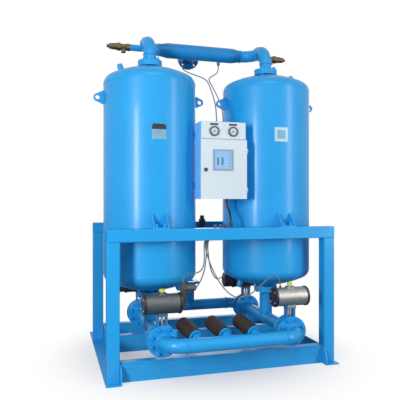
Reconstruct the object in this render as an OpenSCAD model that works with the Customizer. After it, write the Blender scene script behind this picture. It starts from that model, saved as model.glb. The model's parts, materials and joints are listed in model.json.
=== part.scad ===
// Twin-tower desiccant air dryer on a welded skid. Millimetres, +Z up, floor at z = 0.
// Places along Y are measured from the plane of the two vessel axes and shifted once by tower_y.

/* [Vessels] */
// Outside diameter of each vessel
vessel_d = 650; // [600:5:680]
// Wall of the shell and heads
vessel_wall = 8; // [6:1:12]
// Distance between the two vessel axes
vessel_pitch = 890; // [860:5:960]
// Length of the straight shell
shell_h = 1318; // [1150:2:1500]
// Height of the lower tangent line above the floor
shell_z = 632; // [620:2:700]
// Knuckle radius of the dished heads
knuckle_r = 65; // [50:1:90]
// Length of bare neck between a head and its flange
neck_h = 10; // [6:1:30]
// Depth of desiccant between its two screens
bed_h = 1240; // [900:10:1240]
// Thickness of a bed screen
screen_t = 10; // [6:1:16]
// Height of a lifting lug's hole below the upper tangent line
lug_drop = 98; // [60:2:200]
// Distance of a lifting lug's hole from the shell
lug_reach = 42; // [40:1:70]
// Thickness of a lifting lug
lug_t = 16; // [10:1:25]
// Hole in a lifting lug
lug_hole = 30; // [20:1:36]

/* [Frame] */
// Overall width across the posts
frame_w = 1580; // [1560:10:1700]
// Side of the square tube of posts and rails
post = 80; // [60:2:90]
// Wall of the square tube
post_wall = 6; // [4:1:8]
// Height of the top of the rails
rail_top = 956; // [900:2:1000]
// Gap between a rail and the vessel beside it
rail_gap = 5; // [2:1:20]
// Rear face of the rear posts, from the vessel axes
rear_reach = 714; // [700:2:800]
// Height of the skid and base beams
skid_h = 126; // [100:2:140]
// Plate thickness of the skid and base beams
skid_t = 8; // [6:1:12]
// Width of a skid's foot
skid_foot = 98; // [94:1:140]
// Front end of the skid, from the vessel axes
skid_front = 455; // [440:5:520]
// Rear end of the skid, from the vessel axes
skid_rear = 890; // [850:5:950]
// Round of the skid's ends
skid_round = 105; // [60:5:110]
// Depth of a base beam's flanges
beam_flange = 53; // [40:1:70]
// Anchor hole in a skid's foot
anchor_d = 18; // [12:1:24]
// Distance of an anchor hole from the skid's end
anchor_inset = 24; // [20:1:30]

/* [Piping] */
// Outside diameter of the pipes
pipe_od = 88.9; // [85:0.1:92]
// Wall of the pipes
pipe_wall = 4; // [3:0.1:4.2]
// Centreline radius of the elbows
bend_r = 114; // [100:1:130]
// Straight pipe between the two elbows of a riser
riser_run = 20; // [10:1:40]
// Outside diameter of the outlet manifold
manifold_od = 114; // [102:1:125]
// Height of the outlet manifold's axis
manifold_z = 2288; // [2270:2:2400]
// Place of the outlet branch along the manifold
outlet_x = -50; // [-120:5:120]
// Rear face of the outlet flange, from the vessel axes
outlet_reach = 437; // [420:1:520]
// Diameter of the vessel, inlet and outlet flanges
flange_d = 172; // [165:1:190]
// Thickness of every flange
flange_t = 20; // [16:1:24]
// Bolt circle of the vessel, inlet and outlet flanges
flange_pcd = 134; // [130:1:140]
// Bolt holes of the flanges
flange_hole = 18; // [12:1:20]
// Height of the lower pipes' axis
lower_z = 253; // [240:1:270]
// Distance of the valves from the vessel axes
valve_y = 409; // [400:1:430]
// Diameter of the flanges beside the valves
valve_flange_d = 200; // [190:1:210]
// Bolt circle of the flanges beside the valves
valve_pcd = 160; // [156:1:166]
// Bare pipe between a header's flange and its elbow
weld_neck = 20; // [10:1:40]
// Height of the inlet flange's face
inlet_top = 459; // [430:1:520]
// Number of exhaust mufflers
muffler_count = 3; // [1:1:3]
// Distance between mufflers
muffler_pitch = 195; // [150:5:200]
// Middle of the row of mufflers
muffler_mid = -25; // [-40:5:0]
// Diameter of a muffler
muffler_d = 98; // [80:2:110]
// Length of a muffler
muffler_len = 190; // [140:5:220]
// Turn of the mufflers away from straight back
muffler_turn = 16; // [0:1:30]
// Upward slope of the mufflers
muffler_slope = 16; // [5:1:25]

/* [Valves] */
// Thickness of a butterfly valve between its flanges
valve_t = 46; // [40:1:56]
// Outside diameter of a valve's body
valve_d = 136; // [120:1:140]
// Thickness of a valve's disc
disc_t = 8; // [6:1:10]
// Diameter of a valve's stem
stem_d = 16; // [12:1:20]
// Height of an actuator's axis
actuator_z = 483; // [470:1:500]
// Diameter of an actuator's tube
actuator_d = 126; // [100:1:130]
// Length of an actuator's tube
actuator_len = 214; // [160:2:240]
// Thickness of an actuator's end cap
cap_t = 16; // [10:1:24]
// Diameter of the position indicator
indicator_d = 36; // [24:1:50]
// Height of the position indicator
indicator_h = 16; // [10:1:24]
// Radial running clearance of stems and pins
run_gap = 0.05; // [0.03:0.01:0.1]

/* [Control box] */
// Width of the control box
box_w = 320; // [290:2:340]
// Depth of the control box without its door
box_depth = 140; // [100:2:150]
// Height of the control box
box_h = 522; // [450:2:600]
// Height of the control box's underside
box_z = 1148; // [1100:2:1250]
// Front plane of the control box, from the vessel axes
box_front = 318; // [315:1:360]
// Height of the gauge panel
panel_h = 121; // [100:1:150]
// Sheet thickness of the box, panel and door
sheet = 2; // [1.5:0.5:3]
// Depth of the door's folded rim
door_depth = 14; // [10:1:20]
// Overhang of the door at each side of the box
door_over = 3; // [1:0.5:6]
// Diameter of a gauge's bezel
gauge_d = 68; // [60:1:76]
// Distance between the two gauges
gauge_pitch = 134; // [110:2:150]
// Side of the display unit's square bezel
display_w = 142; // [120:2:160]
// Diameter of the lock's head
lock_d = 26; // [20:1:32]

/* [Lines] */
// Diameter of the air lines
line_d = 8; // [6:1:10]
// Diameter of the control cable
cable_d = 14; // [10:1:16]

/* [Hidden] */
$fn = 64;
steel_blue = [0.13, 0.6, 0.93];
touch = 0.3;
eps = 0.5;
vessel_r = vessel_d / 2;
tower_x = vessel_pitch / 2;
crown_r = vessel_d;
head_h = round(100 * (crown_r - sqrt(pow(crown_r - knuckle_r, 2) - pow(vessel_r - knuckle_r, 2)))) / 100;
shell_top = shell_z + shell_h;
head_top = shell_top + head_h;
head_bottom = shell_z - head_h;
top_face = head_top + neck_h + flange_t;
low_face = head_bottom - neck_h - flange_t;
port_tilt = 18;
port_d = 42;
port_len = 34;
plug_d = 30;
plug_len = 16;
bed_d = vessel_d - 2 * vessel_wall - 2 * touch;
bed_z = shell_z + (shell_h - bed_h) / 2;
lug_r = 27;
lug_base = 96;
front_face = vessel_r + rail_gap + post;
rail_low = rail_top - post;
post_x = frame_w / 2 - post;
skid_web_x = post_x - skid_t;
pipe_id = pipe_od - 2 * pipe_wall;
manifold_y = 2 * bend_r + riser_run;
manifold_end = tower_x - bend_r;
reducer_len = 70;
stub_d = 48;
stub_bore = 36;
safety_face = tower_x + 106;
header_y = valve_y + valve_t / 2 + flange_t + weld_neck + bend_r;
tee_face = valve_y - valve_t / 2;
header_face = valve_y + valve_t / 2;
header_end = tower_x - bend_r;
tower_y = (header_y + pipe_od / 2 - skid_rear) / 2;
nipple_len = pipe_od / 2 + 46;
nipple_d = 44;
bracket_h = 92;
rear_bracket_h = 200;
bracket_inset = 8;
bracket_half = 58;
bracket_t = 10;
bracket_root = vessel_r - vessel_wall + 1;
disc_d = 2 * sqrt(pow(pipe_id / 2 - 0.8, 2) - pow(disc_t / 2, 2));
yoke_low = lower_z + valve_d / 2 - 4;
actuator_low = actuator_z - actuator_d / 2 - 6;
actuator_top = actuator_z + actuator_d / 2 + 6;
pad = 64;
yoke_t = 10;
door_z = box_z;
door_h = box_h - panel_h;
door_w = box_w + 2 * door_over;
hinge_x = box_w / 2 + door_over + 6;
hinge_y = -box_front - 5;
hinge_pin = 5;
hinge_od = 11;
hinge_h = 16;
panel_z = box_z + door_h;
gauge_z = panel_z + 56;
lip_w = 20;
cam_w = 12;
cam_len = 24;
lock_x = -box_w / 2 + sheet + lip_w + cam_w / 2 + 2;
lock_z = box_z + 196;
lock_barrel = cam_w;
display_x = -8;
display_z = box_z + 262;
rib_low = 70;
rib_high = 430;
gauge_tap = 150;
tap_h = 18;
pilot_w = 150;
pilot_d = 46;
pilot_h = 40;
pilot_rise = 14;
coil_h = 44;
box_back = box_front - box_depth;
SIDES = [-1, 1];
VALVES = [[-1, -1], [1, -1], [-1, 1], [1, 1]];

// Rounded square with its centre at the origin
module rounded_square(side, r) {
    square([side, side - 2 * r], center = true);
    square([side - 2 * r, side], center = true);
    for (x = SIDES, y = SIDES)
        translate([x * (side / 2 - r), y * (side / 2 - r)]) circle(r);
}

// Square tube that stands on z = 0
module square_tube(len) {
    linear_extrude(len) difference() {
        rounded_square(post, post_wall);
        square(post - 2 * post_wall, center = true);
    }
}

// Square tube along X, centred
module tube_x(len) {
    rotate([0, 90, 0]) translate([0, 0, -len / 2]) square_tube(len);
}

// Cylinder along X that starts at x = 0
module rod_x(d, len) {
    rotate([0, 90, 0]) cylinder(d = d, h = len);
}

// Cylinder along Y that starts at y = 0
module rod_y(d, len) {
    rotate([-90, 0, 0]) cylinder(d = d, h = len);
}

// Quarter bend from the origin, going up at first and then to +Y
module bend_up_back(d) {
    translate([0, bend_r, 0]) rotate([90, 0, -90])
        rotate_extrude(angle = 90) translate([bend_r, 0]) circle(d = d);
}

// Quarter bend from the origin, going to +Y at first and then to +X
module bend_back_right(d) {
    translate([bend_r, 0, 0]) mirror([1, 0, 0])
        rotate_extrude(angle = 90) translate([bend_r, 0]) circle(d = d);
}

// Holes of a flange's bolt circle, along Z
module bolt_circle(pcd, count, len) {
    for (i = [0 : count - 1])
        rotate(360 / count * (i + 0.5)) translate([pcd / 2, 0, -eps]) cylinder(d = flange_hole, h = len + 2 * eps);
}

// Half section of a vessel with a given wall taken off the outside
module vessel_profile(inset) {
    r = vessel_r - inset;
    k = knuckle_r - inset;
    c = crown_r - inset;
    tangent = (r - k) * c / (c - k);
    square_h = shell_h;
    square([r, square_h]);
    for (end = [0, 1]) translate([0, end * square_h]) mirror([0, 1 - end]) intersection() {
        square([r, head_h]);
        union() {
            translate([r - k, 0]) circle(k);
            square([r - k, k / 2]);
            intersection() {
                translate([0, head_h - inset - c]) circle(c, $fn = 180);
                square([tangent, head_h]);
            }
        }
    }
}

// Solid of the vessel's outside or inside
module vessel_form(inset) {
    rotate_extrude() vessel_profile(inset);
}

// Things placed along a head's normal at the filling port, upper or lower, outward side
module at_port(side, upper) {
    up = upper ? 1 : -1;
    centre = upper ? head_top - crown_r : head_bottom + crown_r;
    translate([side * tower_x, 0, centre]) rotate([0, side * port_tilt, 0]) mirror([0, 0, upper ? 0 : 1])
        translate([0, 0, crown_r]) children();
}

// Bracket that carries a vessel on a rail, on the +Y side
module bracket(reach, high) {
    translate([-bracket_half, bracket_root, rail_top]) cube([2 * bracket_half, reach - bracket_root, bracket_t]);
    for (s = SIDES) translate([s * (bracket_half - 12) - bracket_t / 2, 0, rail_top])
        rotate([90, 0, 90]) linear_extrude(bracket_t) polygon([
            [bracket_root, 0], [reach - 6, 0], [reach - 6, bracket_t + 6],
            [vessel_r + 8, high], [bracket_root, high]
        ]);
}

module vessel(side) {
    color(steel_blue) {
        difference() {
            union() {
                translate([side * tower_x, 0, shell_z]) vessel_form(0);
                translate([side * tower_x, 0, head_top - 2 * vessel_wall]) cylinder(d = pipe_od, h = neck_h + 2 * vessel_wall + eps);
                translate([side * tower_x, 0, top_face - flange_t]) cylinder(d = flange_d, h = flange_t);
                translate([side * tower_x, 0, low_face + flange_t - eps]) cylinder(d = pipe_od, h = neck_h + 2 * vessel_wall);
                translate([side * tower_x, 0, low_face]) cylinder(d = flange_d, h = flange_t);
                for (upper = [true, false]) at_port(side, upper)
                    translate([0, 0, -vessel_wall / 2]) cylinder(d = port_d, h = port_len + vessel_wall / 2);
                translate([side * tower_x, 0, 0]) bracket(rear_reach - bracket_inset, rear_bracket_h);
                translate([side * tower_x, 0, 0]) mirror([0, 1, 0]) bracket(front_face - bracket_inset, bracket_h);
            }
            translate([side * tower_x, 0, shell_z]) vessel_form(vessel_wall);
            translate([side * tower_x, 0, low_face - eps]) cylinder(d = pipe_id, h = top_face - low_face + 2 * eps);
            for (upper = [true, false]) at_port(side, upper)
                translate([0, 0, -2 * vessel_wall]) cylinder(d = plug_d, h = port_len + 3 * vessel_wall);
            translate([side * tower_x, 0, top_face - flange_t]) bolt_circle(flange_pcd, 4, flange_t);
            translate([side * tower_x, 0, low_face]) bolt_circle(flange_pcd, 4, flange_t);
        }
    }
}

module lifting_lugs() {
    color(steel_blue) for (side = SIDES, way = SIDES)
        translate([side * tower_x, lug_t / 2, shell_top - lug_drop]) mirror([way < 0 ? 1 : 0, 0, 0])
            rotate([90, 0, 0]) linear_extrude(lug_t) difference() {
                union() {
                    translate([vessel_r + lug_reach, 0]) circle(lug_r);
                    polygon([
                        [vessel_r + touch, -lug_base / 2], [vessel_r + lug_reach + 6, -lug_r * 0.97],
                        [vessel_r + lug_reach + 6, lug_r * 0.97], [vessel_r + touch, lug_base / 2]
                    ]);
                }
                translate([vessel_r + lug_reach, 0]) circle(d = lug_hole);
            }
}

module port_plugs() {
    color("dimgray") for (side = SIDES, upper = [true, false]) at_port(side, upper)
        translate([0, 0, port_len]) {
            cylinder(d = plug_d + 6, h = plug_len, $fn = 6);
            translate([0, 0, -plug_len]) cylinder(d = plug_d - 2 * touch, h = plug_len + eps);
        }
}

module desiccant(side) {
    color("whitesmoke") translate([side * tower_x, 0, bed_z]) cylinder(d = bed_d, h = bed_h);
}

// Perforated plates under and over each bed
module bed_screens() {
    hole_d = 24;
    color("silver") for (side = SIDES, z = [bed_z - screen_t, bed_z + bed_h])
        translate([side * tower_x, 0, z]) difference() {
            cylinder(d = bed_d, h = screen_t);
            for (ring = [1 : 3], i = [0 : 6 * ring - 1])
                rotate(60 / ring * i) translate([ring * bed_d / 8, 0, -eps]) cylinder(d = hole_d, h = screen_t + 2 * eps);
        }
}

// Pipe from the right vessel's top flange to the manifold, as a solid of one diameter
module riser_route(d) {
    low = manifold_z - bend_r;
    translate([tower_x, 0, top_face]) cylinder(d = d, h = low - top_face);
    translate([tower_x, 0, low]) bend_up_back(d);
    translate([tower_x, bend_r, manifold_z]) rod_y(d, riser_run);
    translate([tower_x, bend_r + riser_run, manifold_z]) mirror([1, 0, 0]) bend_back_right(d);
}

module riser(side) {
    reach = safety_face - manifold_end - pipe_od / 2;
    color(steel_blue) mirror([side < 0 ? 1 : 0, 0, 0]) difference() {
        union() {
            riser_route(pipe_od);
            translate([tower_x, 0, top_face]) cylinder(d = flange_d, h = flange_t);
            translate([safety_face - reach, manifold_y, manifold_z]) rod_x(stub_d, reach);
        }
        riser_route(pipe_id);
        translate([tower_x, 0, top_face - eps]) cylinder(d = pipe_id, h = flange_t);
        translate([safety_face - reach, manifold_y, manifold_z]) rod_x(stub_bore, reach + eps);
        translate([tower_x, 0, top_face]) bolt_circle(flange_pcd, 4, flange_t);
    }
}

// Manifold's outside or inside: reducers, run and outlet branch
module manifold_route(wall) {
    big = manifold_od - 2 * wall;
    small = pipe_od - 2 * wall;
    translate([-manifold_end, manifold_y, manifold_z]) rotate([0, 90, 0]) {
        cylinder(d1 = small, d2 = big, h = reducer_len);
        translate([0, 0, reducer_len]) cylinder(d = big, h = 2 * (manifold_end - reducer_len));
        translate([0, 0, 2 * manifold_end - reducer_len]) cylinder(d1 = big, d2 = small, h = reducer_len);
    }
    translate([outlet_x, manifold_y, manifold_z]) rod_y(small, outlet_reach - manifold_y);
}

module outlet_manifold() {
    boss_d = 26;
    color(steel_blue) difference() {
        union() {
            manifold_route(0);
            translate([outlet_x, outlet_reach - flange_t, manifold_z]) rod_y(flange_d, flange_t);
            for (s = SIDES) translate([s * gauge_tap, manifold_y, manifold_z - manifold_od / 2 - tap_h])
                cylinder(d = boss_d, h = manifold_od / 2);
        }
        manifold_route(pipe_wall);
        translate([outlet_x, outlet_reach - eps, manifold_z]) rod_y(pipe_id, 2 * eps);
        translate([outlet_x, outlet_reach - flange_t, manifold_z]) rotate([-90, 0, 0]) bolt_circle(flange_pcd, 4, flange_t);
    }
}

// Spring safety valve that points outward along X from its stub
module safety_valve(side) {
    color("goldenrod") translate([side * safety_face, manifold_y, manifold_z]) mirror([side > 0 ? 0 : 1, 0, 0]) {
        rotate([0, 90, 0]) {
            cylinder(d = 56, h = 26, $fn = 6);
            translate([0, 0, 26]) cylinder(d = 46, h = 44);
            translate([0, 0, 70]) cylinder(d = 62, h = 22, $fn = 6);
            translate([0, 0, 92]) cylinder(d1 = 52, d2 = 40, h = 62);
            translate([0, 0, 154]) cylinder(d = 24, h = 18);
        }
        translate([48, 0, -42]) difference() {
            cylinder(d = 34, h = 42);
            translate([0, 0, -eps]) cylinder(d = 24, h = 20);
        }
    }
}

// Cross pipe under a vessel, as a solid of one diameter
module tee_route(side, d) {
    translate([side * tower_x, -tee_face, lower_z]) rod_y(d, 2 * tee_face);
    translate([side * tower_x, 0, lower_z]) cylinder(d = d, h = low_face - lower_z);
}

module lower_tee(side) {
    color(steel_blue) difference() {
        union() {
            tee_route(side, pipe_od);
            translate([side * tower_x, 0, low_face - flange_t]) cylinder(d = flange_d, h = flange_t);
            for (way = SIDES) translate([side * tower_x, way * (tee_face - flange_t / 2) - flange_t / 2, lower_z])
                rod_y(valve_flange_d, flange_t);
        }
        tee_route(side, pipe_id);
        translate([side * tower_x, -tee_face - eps, lower_z]) rod_y(pipe_id, 2 * tee_face + 2 * eps);
        translate([side * tower_x, 0, low_face - eps]) cylinder(d = pipe_id, h = 2 * eps);
        translate([side * tower_x, 0, low_face - flange_t]) bolt_circle(flange_pcd, 4, flange_t);
        for (way = SIDES) translate([side * tower_x, way * (tee_face - flange_t / 2) - flange_t / 2, lower_z])
            rotate([-90, 0, 0]) bolt_circle(valve_pcd, 8, flange_t);
    }
}

// Header behind the vessels, as a solid of one diameter: two elbows and a run
module header_route(d) {
    start = header_face + flange_t + weld_neck;
    for (side = SIDES) translate([side * tower_x, 0, lower_z]) mirror([side > 0 ? 1 : 0, 0, 0]) {
        translate([0, header_face, 0]) rod_y(d, start - header_face);
        translate([0, start, 0]) bend_back_right(d);
    }
    translate([-header_end, header_y, lower_z]) rod_x(d, 2 * header_end);
}

// Flanges of a header
module header_flanges() {
    for (side = SIDES) translate([side * tower_x, header_face, lower_z]) rod_y(valve_flange_d, flange_t);
}

// Bolt holes and open ends of a header's flanges
module header_cuts() {
    for (side = SIDES) translate([side * tower_x, header_face, lower_z]) {
        rotate([-90, 0, 0]) bolt_circle(valve_pcd, 8, flange_t);
        translate([0, -eps, 0]) rod_y(pipe_id, 2 * eps);
    }
}

// Places of the mufflers' nipples along the exhaust header
module at_mufflers() {
    for (i = [0 : muffler_count - 1])
        translate([muffler_mid + (i - (muffler_count - 1) / 2) * muffler_pitch, -header_y, lower_z])
            rotate(muffler_turn) rotate([muffler_slope, 0, 0]) children();
}

module exhaust_header() {
    color(steel_blue) difference() {
        union() {
            mirror([0, 1, 0]) {
                header_route(pipe_od);
                header_flanges();
            }
            at_mufflers() rod_y(nipple_d, nipple_len);
            at_mufflers() translate([0, nipple_len - 20, 0]) rod_y(nipple_d + 12, 20);
        }
        mirror([0, 1, 0]) {
            header_route(pipe_id);
            header_cuts();
        }
        at_mufflers() rod_y(nipple_d - 14, nipple_len + eps);
    }
}

// Porous silencers on the exhaust header's elbows
module mufflers() {
    round_r = 14;
    color([0.16, 0.1, 0.07]) at_mufflers() translate([0, nipple_len, 0]) rotate([-90, 0, 0])
        rotate_extrude() {
            square([24, 16]);
            translate([0, 16]) {
                square([muffler_d / 2, muffler_len - 16 - round_r]);
                square([muffler_d / 2 - round_r, muffler_len - 16]);
                translate([muffler_d / 2 - round_r, muffler_len - 16 - round_r]) circle(round_r);
            }
        }
}

module inlet_header() {
    color(steel_blue) difference() {
        union() {
            header_route(pipe_od);
            header_flanges();
            translate([0, header_y, lower_z]) cylinder(d = pipe_od, h = inlet_top - lower_z);
            translate([0, header_y, inlet_top - flange_t]) cylinder(d = flange_d, h = flange_t);
        }
        header_route(pipe_id);
        header_cuts();
        translate([0, header_y, lower_z]) cylinder(d = pipe_id, h = inlet_top - lower_z + eps);
        translate([0, header_y, inlet_top - flange_t]) bolt_circle(flange_pcd, 4, flange_t);
    }
}

// Places a valve's pieces at one of the four valves
module at_valve(v) {
    translate([VALVES[v][0] * tower_x, VALVES[v][1] * valve_y, 0]) children();
}

// Wafer body with the yoke that carries the actuator
module valve_body(v) {
    leg_w = 46;
    color([0.25, 0.55, 0.75]) at_valve(v) difference() {
        union() {
            translate([0, -valve_t / 2, lower_z]) rod_y(valve_d, valve_t);
            translate([-pad / 2, -valve_t / 2, yoke_low - 14]) cube([pad, valve_t, 14 + yoke_t]);
            translate([-pad / 2, -pad / 2, actuator_low - yoke_t]) cube([pad, pad, yoke_t]);
            for (s = SIDES) translate([s * (pad / 2 - yoke_t / 2) - yoke_t / 2, -leg_w / 2, yoke_low])
                cube([yoke_t, leg_w, actuator_low - yoke_low]);
        }
        translate([0, -valve_t / 2 - eps, lower_z]) rod_y(pipe_id - 1, valve_t + 2 * eps);
        translate([0, 0, lower_z]) cylinder(d = stem_d + 2 * run_gap, h = actuator_low - lower_z + eps);
    }
}

// Disc and stem, closed across the pipe
module valve_disc(v) {
    color("silver") at_valve(v) {
        translate([0, -disc_t / 2, lower_z]) rod_y(disc_d - 1, disc_t);
        translate([0, 0, lower_z - disc_d / 4]) cylinder(d = stem_d, h = actuator_top + 8 - lower_z + disc_d / 4);
    }
}

// Tube of a rack-and-pinion actuator with its lower and upper pads
module actuator(v) {
    color([0.72, 0.72, 0.7]) at_valve(v) difference() {
        union() {
            translate([-actuator_len / 2, 0, actuator_z]) rod_x(actuator_d, actuator_len);
            translate([-pad / 2, -pad / 2, actuator_low]) cube([pad, pad, actuator_z - actuator_low]);
            translate([0, 0, actuator_z]) cylinder(d = pad, h = actuator_top - actuator_z);
        }
        translate([0, 0, actuator_low - eps]) cylinder(d = stem_d + 2 * run_gap, h = actuator_top - actuator_low + 2 * eps);
    }
}

// End caps of the four actuators
module actuator_caps() {
    rim = 5;
    cap_d = actuator_d + 8;
    color([0.05, 0.05, 0.05]) for (v = [0 : 3]) at_valve(v) for (s = SIDES)
        translate([0, 0, actuator_z]) mirror([s < 0 ? 1 : 0, 0, 0]) translate([actuator_len / 2, 0, 0]) rotate([0, 90, 0])
            rotate_extrude() {
                square([cap_d / 2, cap_t - rim]);
                square([cap_d / 2 - rim, cap_t]);
                translate([cap_d / 2 - rim, cap_t - rim]) circle(rim);
            }
}

// Position indicator on the stem's upper end
module indicator(v) {
    color([0.75, 0.85, 0.1]) at_valve(v) translate([0, 0, actuator_top + 8]) difference() {
        cylinder(d = indicator_d, h = indicator_h);
        translate([-indicator_d, -2, indicator_h - 4]) cube([2 * indicator_d, 4, 5]);
    }
}

module skid(side) {
    color(steel_blue) mirror([side < 0 ? 1 : 0, 0, 0]) difference() {
        union() {
            translate([skid_web_x, 0, 0]) rotate([90, 0, 90]) linear_extrude(skid_t) {
                translate([-skid_front, 0]) square([skid_front + skid_rear, skid_h - skid_round]);
                translate([-skid_front + skid_round, 0]) square([skid_front + skid_rear - 2 * skid_round, skid_h]);
                translate([-skid_front + skid_round, skid_h - skid_round]) circle(skid_round);
                translate([skid_rear - skid_round, skid_h - skid_round]) circle(skid_round);
            }
            translate([skid_web_x, -skid_front, 0]) cube([skid_foot, skid_front + skid_rear, skid_t]);
        }
        translate([skid_web_x - eps, -skid_front, -skid_h]) cube([skid_foot, skid_front + skid_rear, skid_h]);
        for (y = [-skid_front + anchor_inset, skid_rear - anchor_inset])
            translate([skid_web_x + skid_t + (skid_foot - skid_t) / 2, y, -eps]) cylinder(d = anchor_d, h = skid_t + 2 * eps);
    }
}

// Channel between the skids with its web at y, flanges to the back
module base_beam(y) {
    color(steel_blue) translate([-skid_web_x, y, 0]) difference() {
        cube([2 * skid_web_x, beam_flange, skid_h]);
        translate([-eps, skid_t, skid_t]) cube([2 * skid_web_x + 2 * eps, beam_flange, skid_h - 2 * skid_t]);
    }
}

module frame_post(side, rear) {
    y = rear ? rear_reach - post / 2 : -front_face + post / 2;
    color(steel_blue) translate([side * (post_x + post / 2), y, skid_t]) square_tube(rail_low - skid_t);
}

module cross_rail(y) {
    color(steel_blue) translate([0, y, rail_low + post / 2]) tube_x(frame_w);
}

// Bars between the vessels that carry the control box
module box_bracket() {
    bar_t = 8;
    bar_h = 40;
    half = tower_x - sqrt(pow(vessel_r + touch, 2) - pow(box_back - bar_t, 2));
    color(steel_blue) for (z = [rib_low, rib_high]) translate([-half, -box_back, box_z + z]) cube([2 * half, bar_t, bar_h]);
}

module control_box() {
    color([0.86, 0.9, 0.93]) {
        difference() {
            translate([-box_w / 2, -box_front, box_z]) cube([box_w, box_depth, box_h]);
            translate([-box_w / 2 + sheet, -box_front - eps, box_z + sheet])
                cube([box_w - 2 * sheet, box_depth - sheet + eps, door_h - 2 * sheet]);
            translate([-box_w / 2 + sheet, -box_front - eps, panel_z])
                cube([box_w - 2 * sheet, box_depth - sheet + eps, panel_h - sheet]);
        }
        translate([-box_w / 2 + sheet - eps, -box_front, box_z + sheet - eps])
            cube([lip_w + eps, sheet, door_h - 2 * sheet + 2 * eps]);
        for (z = [door_z + 60, door_z + door_h - 60 - hinge_h]) translate([hinge_x, hinge_y, z - hinge_h - touch]) {
            cylinder(d = hinge_od, h = hinge_h);
            cylinder(d = hinge_pin, h = 2 * hinge_h + touch);
            translate([-hinge_x + door_w / 2 + touch, 0, 0]) cube([hinge_x - door_w / 2 - touch + hinge_od / 2, 14, hinge_h]);
            translate([-hinge_x + box_w / 2 - eps, -hinge_y - box_front + touch, 0])
                cube([hinge_x - box_w / 2 + eps, hinge_y + box_front + 14 - touch, hinge_h]);
        }
    }
}

module gauge_panel() {
    color([0.93, 0.95, 0.96]) difference() {
        translate([-box_w / 2 + sheet + touch, -box_front, panel_z + touch])
            cube([box_w - 2 * sheet - 2 * touch, sheet, panel_h - sheet - 2 * touch]);
        for (s = SIDES) translate([s * gauge_pitch / 2, -box_front - eps, gauge_z])
            rod_y(gauge_d - 6 + 2 * touch, sheet + 2 * eps);
    }
}

// Folded door with its hinge knuckles
module box_door() {
    back = -box_front - touch;
    color([0.95, 0.96, 0.97]) difference() {
        union() {
            difference() {
                translate([-door_w / 2, back - door_depth, door_z]) cube([door_w, door_depth, door_h - touch]);
                translate([-door_w / 2 + sheet, back - door_depth + sheet, door_z + sheet])
                    cube([door_w - 2 * sheet, door_depth, door_h - touch - 2 * sheet]);
            }
            for (z = [door_z + 60, door_z + door_h - 60 - hinge_h]) translate([hinge_x, hinge_y, z]) {
                cylinder(d = hinge_od, h = hinge_h);
                translate([-hinge_x + door_w / 2 - eps, -hinge_od / 2, 0]) cube([hinge_x - door_w / 2 + eps, hinge_od / 2, hinge_h]);
            }
        }
        for (z = [door_z + 60, door_z + door_h - 60 - hinge_h]) translate([hinge_x, hinge_y, z - eps])
            cylinder(d = hinge_pin + 2 * run_gap, h = hinge_h + 2 * eps);
        translate([lock_x, back - door_depth - eps, lock_z]) rod_y(lock_barrel + 2 * run_gap, sheet + 2 * eps);
        translate([display_x - display_w / 2 + 6, back - door_depth - eps, display_z - display_w / 2 + 6])
            cube([display_w - 12, sheet + 2 * eps, display_w - 12]);
    }
}

// Quarter-turn lock, unlocked: its cam hangs beside the box's lip and turns in behind it
module door_lock() {
    front = -box_front - touch - door_depth;
    cam_t = 4;
    cam_y = -box_front + sheet + 1;
    color([0.2, 0.2, 0.22]) difference() {
        union() {
            translate([lock_x, front - 5, lock_z]) rod_y(lock_d, 5);
            translate([lock_x, front - 1, lock_z]) rod_y(lock_barrel, cam_y + cam_t - front + 1);
            translate([lock_x - cam_w / 2, cam_y, lock_z - cam_len]) cube([cam_w, cam_t, cam_len]);
        }
        translate([lock_x - 2, front - 6, lock_z - 6]) cube([4, 4, 12]);
    }
}

// Display unit in the door's cut-out, with its bezel in front
module display_unit() {
    front = -box_front - touch - door_depth;
    body_w = display_w - 12 - 2 * touch;
    bezel_t = 5;
    rim = 10;
    color([0.2, 0.45, 0.75]) difference() {
        union() {
            translate([display_x - display_w / 2, front - bezel_t, display_z - display_w / 2]) cube([display_w, bezel_t, display_w]);
            translate([display_x - body_w / 2, front - eps, display_z - body_w / 2]) cube([body_w, 30, body_w]);
        }
        translate([display_x - display_w / 2 + rim, front - bezel_t - eps, display_z - display_w / 2 + rim])
            cube([display_w - 2 * rim, 2 + eps, display_w - 2 * rim]);
    }
}

// Two pressure gauges through the panel
module gauges() {
    case_len = 30;
    bezel_t = 10;
    pivot_d = 3;
    color("lightgray") for (s = SIDES) translate([s * gauge_pitch / 2, -box_front, gauge_z]) difference() {
        union() {
            translate([0, -bezel_t, 0]) rod_y(gauge_d, bezel_t);
            translate([0, -eps, 0]) rod_y(gauge_d - 6, case_len);
            translate([0, case_len - 1, 0]) rod_y(14, 20);
        }
        translate([0, -bezel_t - eps, 0]) rod_y(gauge_d - 8, 6 + eps);
        translate([0, -bezel_t, 0]) rod_y(pivot_d + 2 * run_gap, bezel_t + 8);
    }
}

// Pointer with its shaft, resting at the low end of the scale
module pointer(s) {
    pivot_d = 3;
    tip = gauge_d / 2 - 10;
    color("black") translate([s * gauge_pitch / 2, -box_front - 10, gauge_z]) {
        translate([0, 2.4, 0]) rod_y(pivot_d, 12);
        translate([0, 2, 0]) rod_y(8, 2);
        translate([0, 4, 0]) rotate([90, -135, 0]) linear_extrude(2) polygon([[-2.5, -8], [2.5, -8], [0.6, tip], [-0.6, tip]]);
    }
}

// Pilot valve block behind the front rail
module pilot_block() {
    coil_d = 24;
    color([0.12, 0.12, 0.13]) translate([0, -front_face + post, rail_low + pilot_rise]) {
        translate([-pilot_w / 2, 0, 0]) cube([pilot_w, pilot_d, pilot_h]);
        for (i = [0 : 3]) translate([(i - 1.5) * pilot_w / 4, pilot_d / 2, pilot_h - eps]) cylinder(d = coil_d, h = coil_h + eps);
    }
}

// Unit vector
function unit(v) = v / norm(v);

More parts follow.
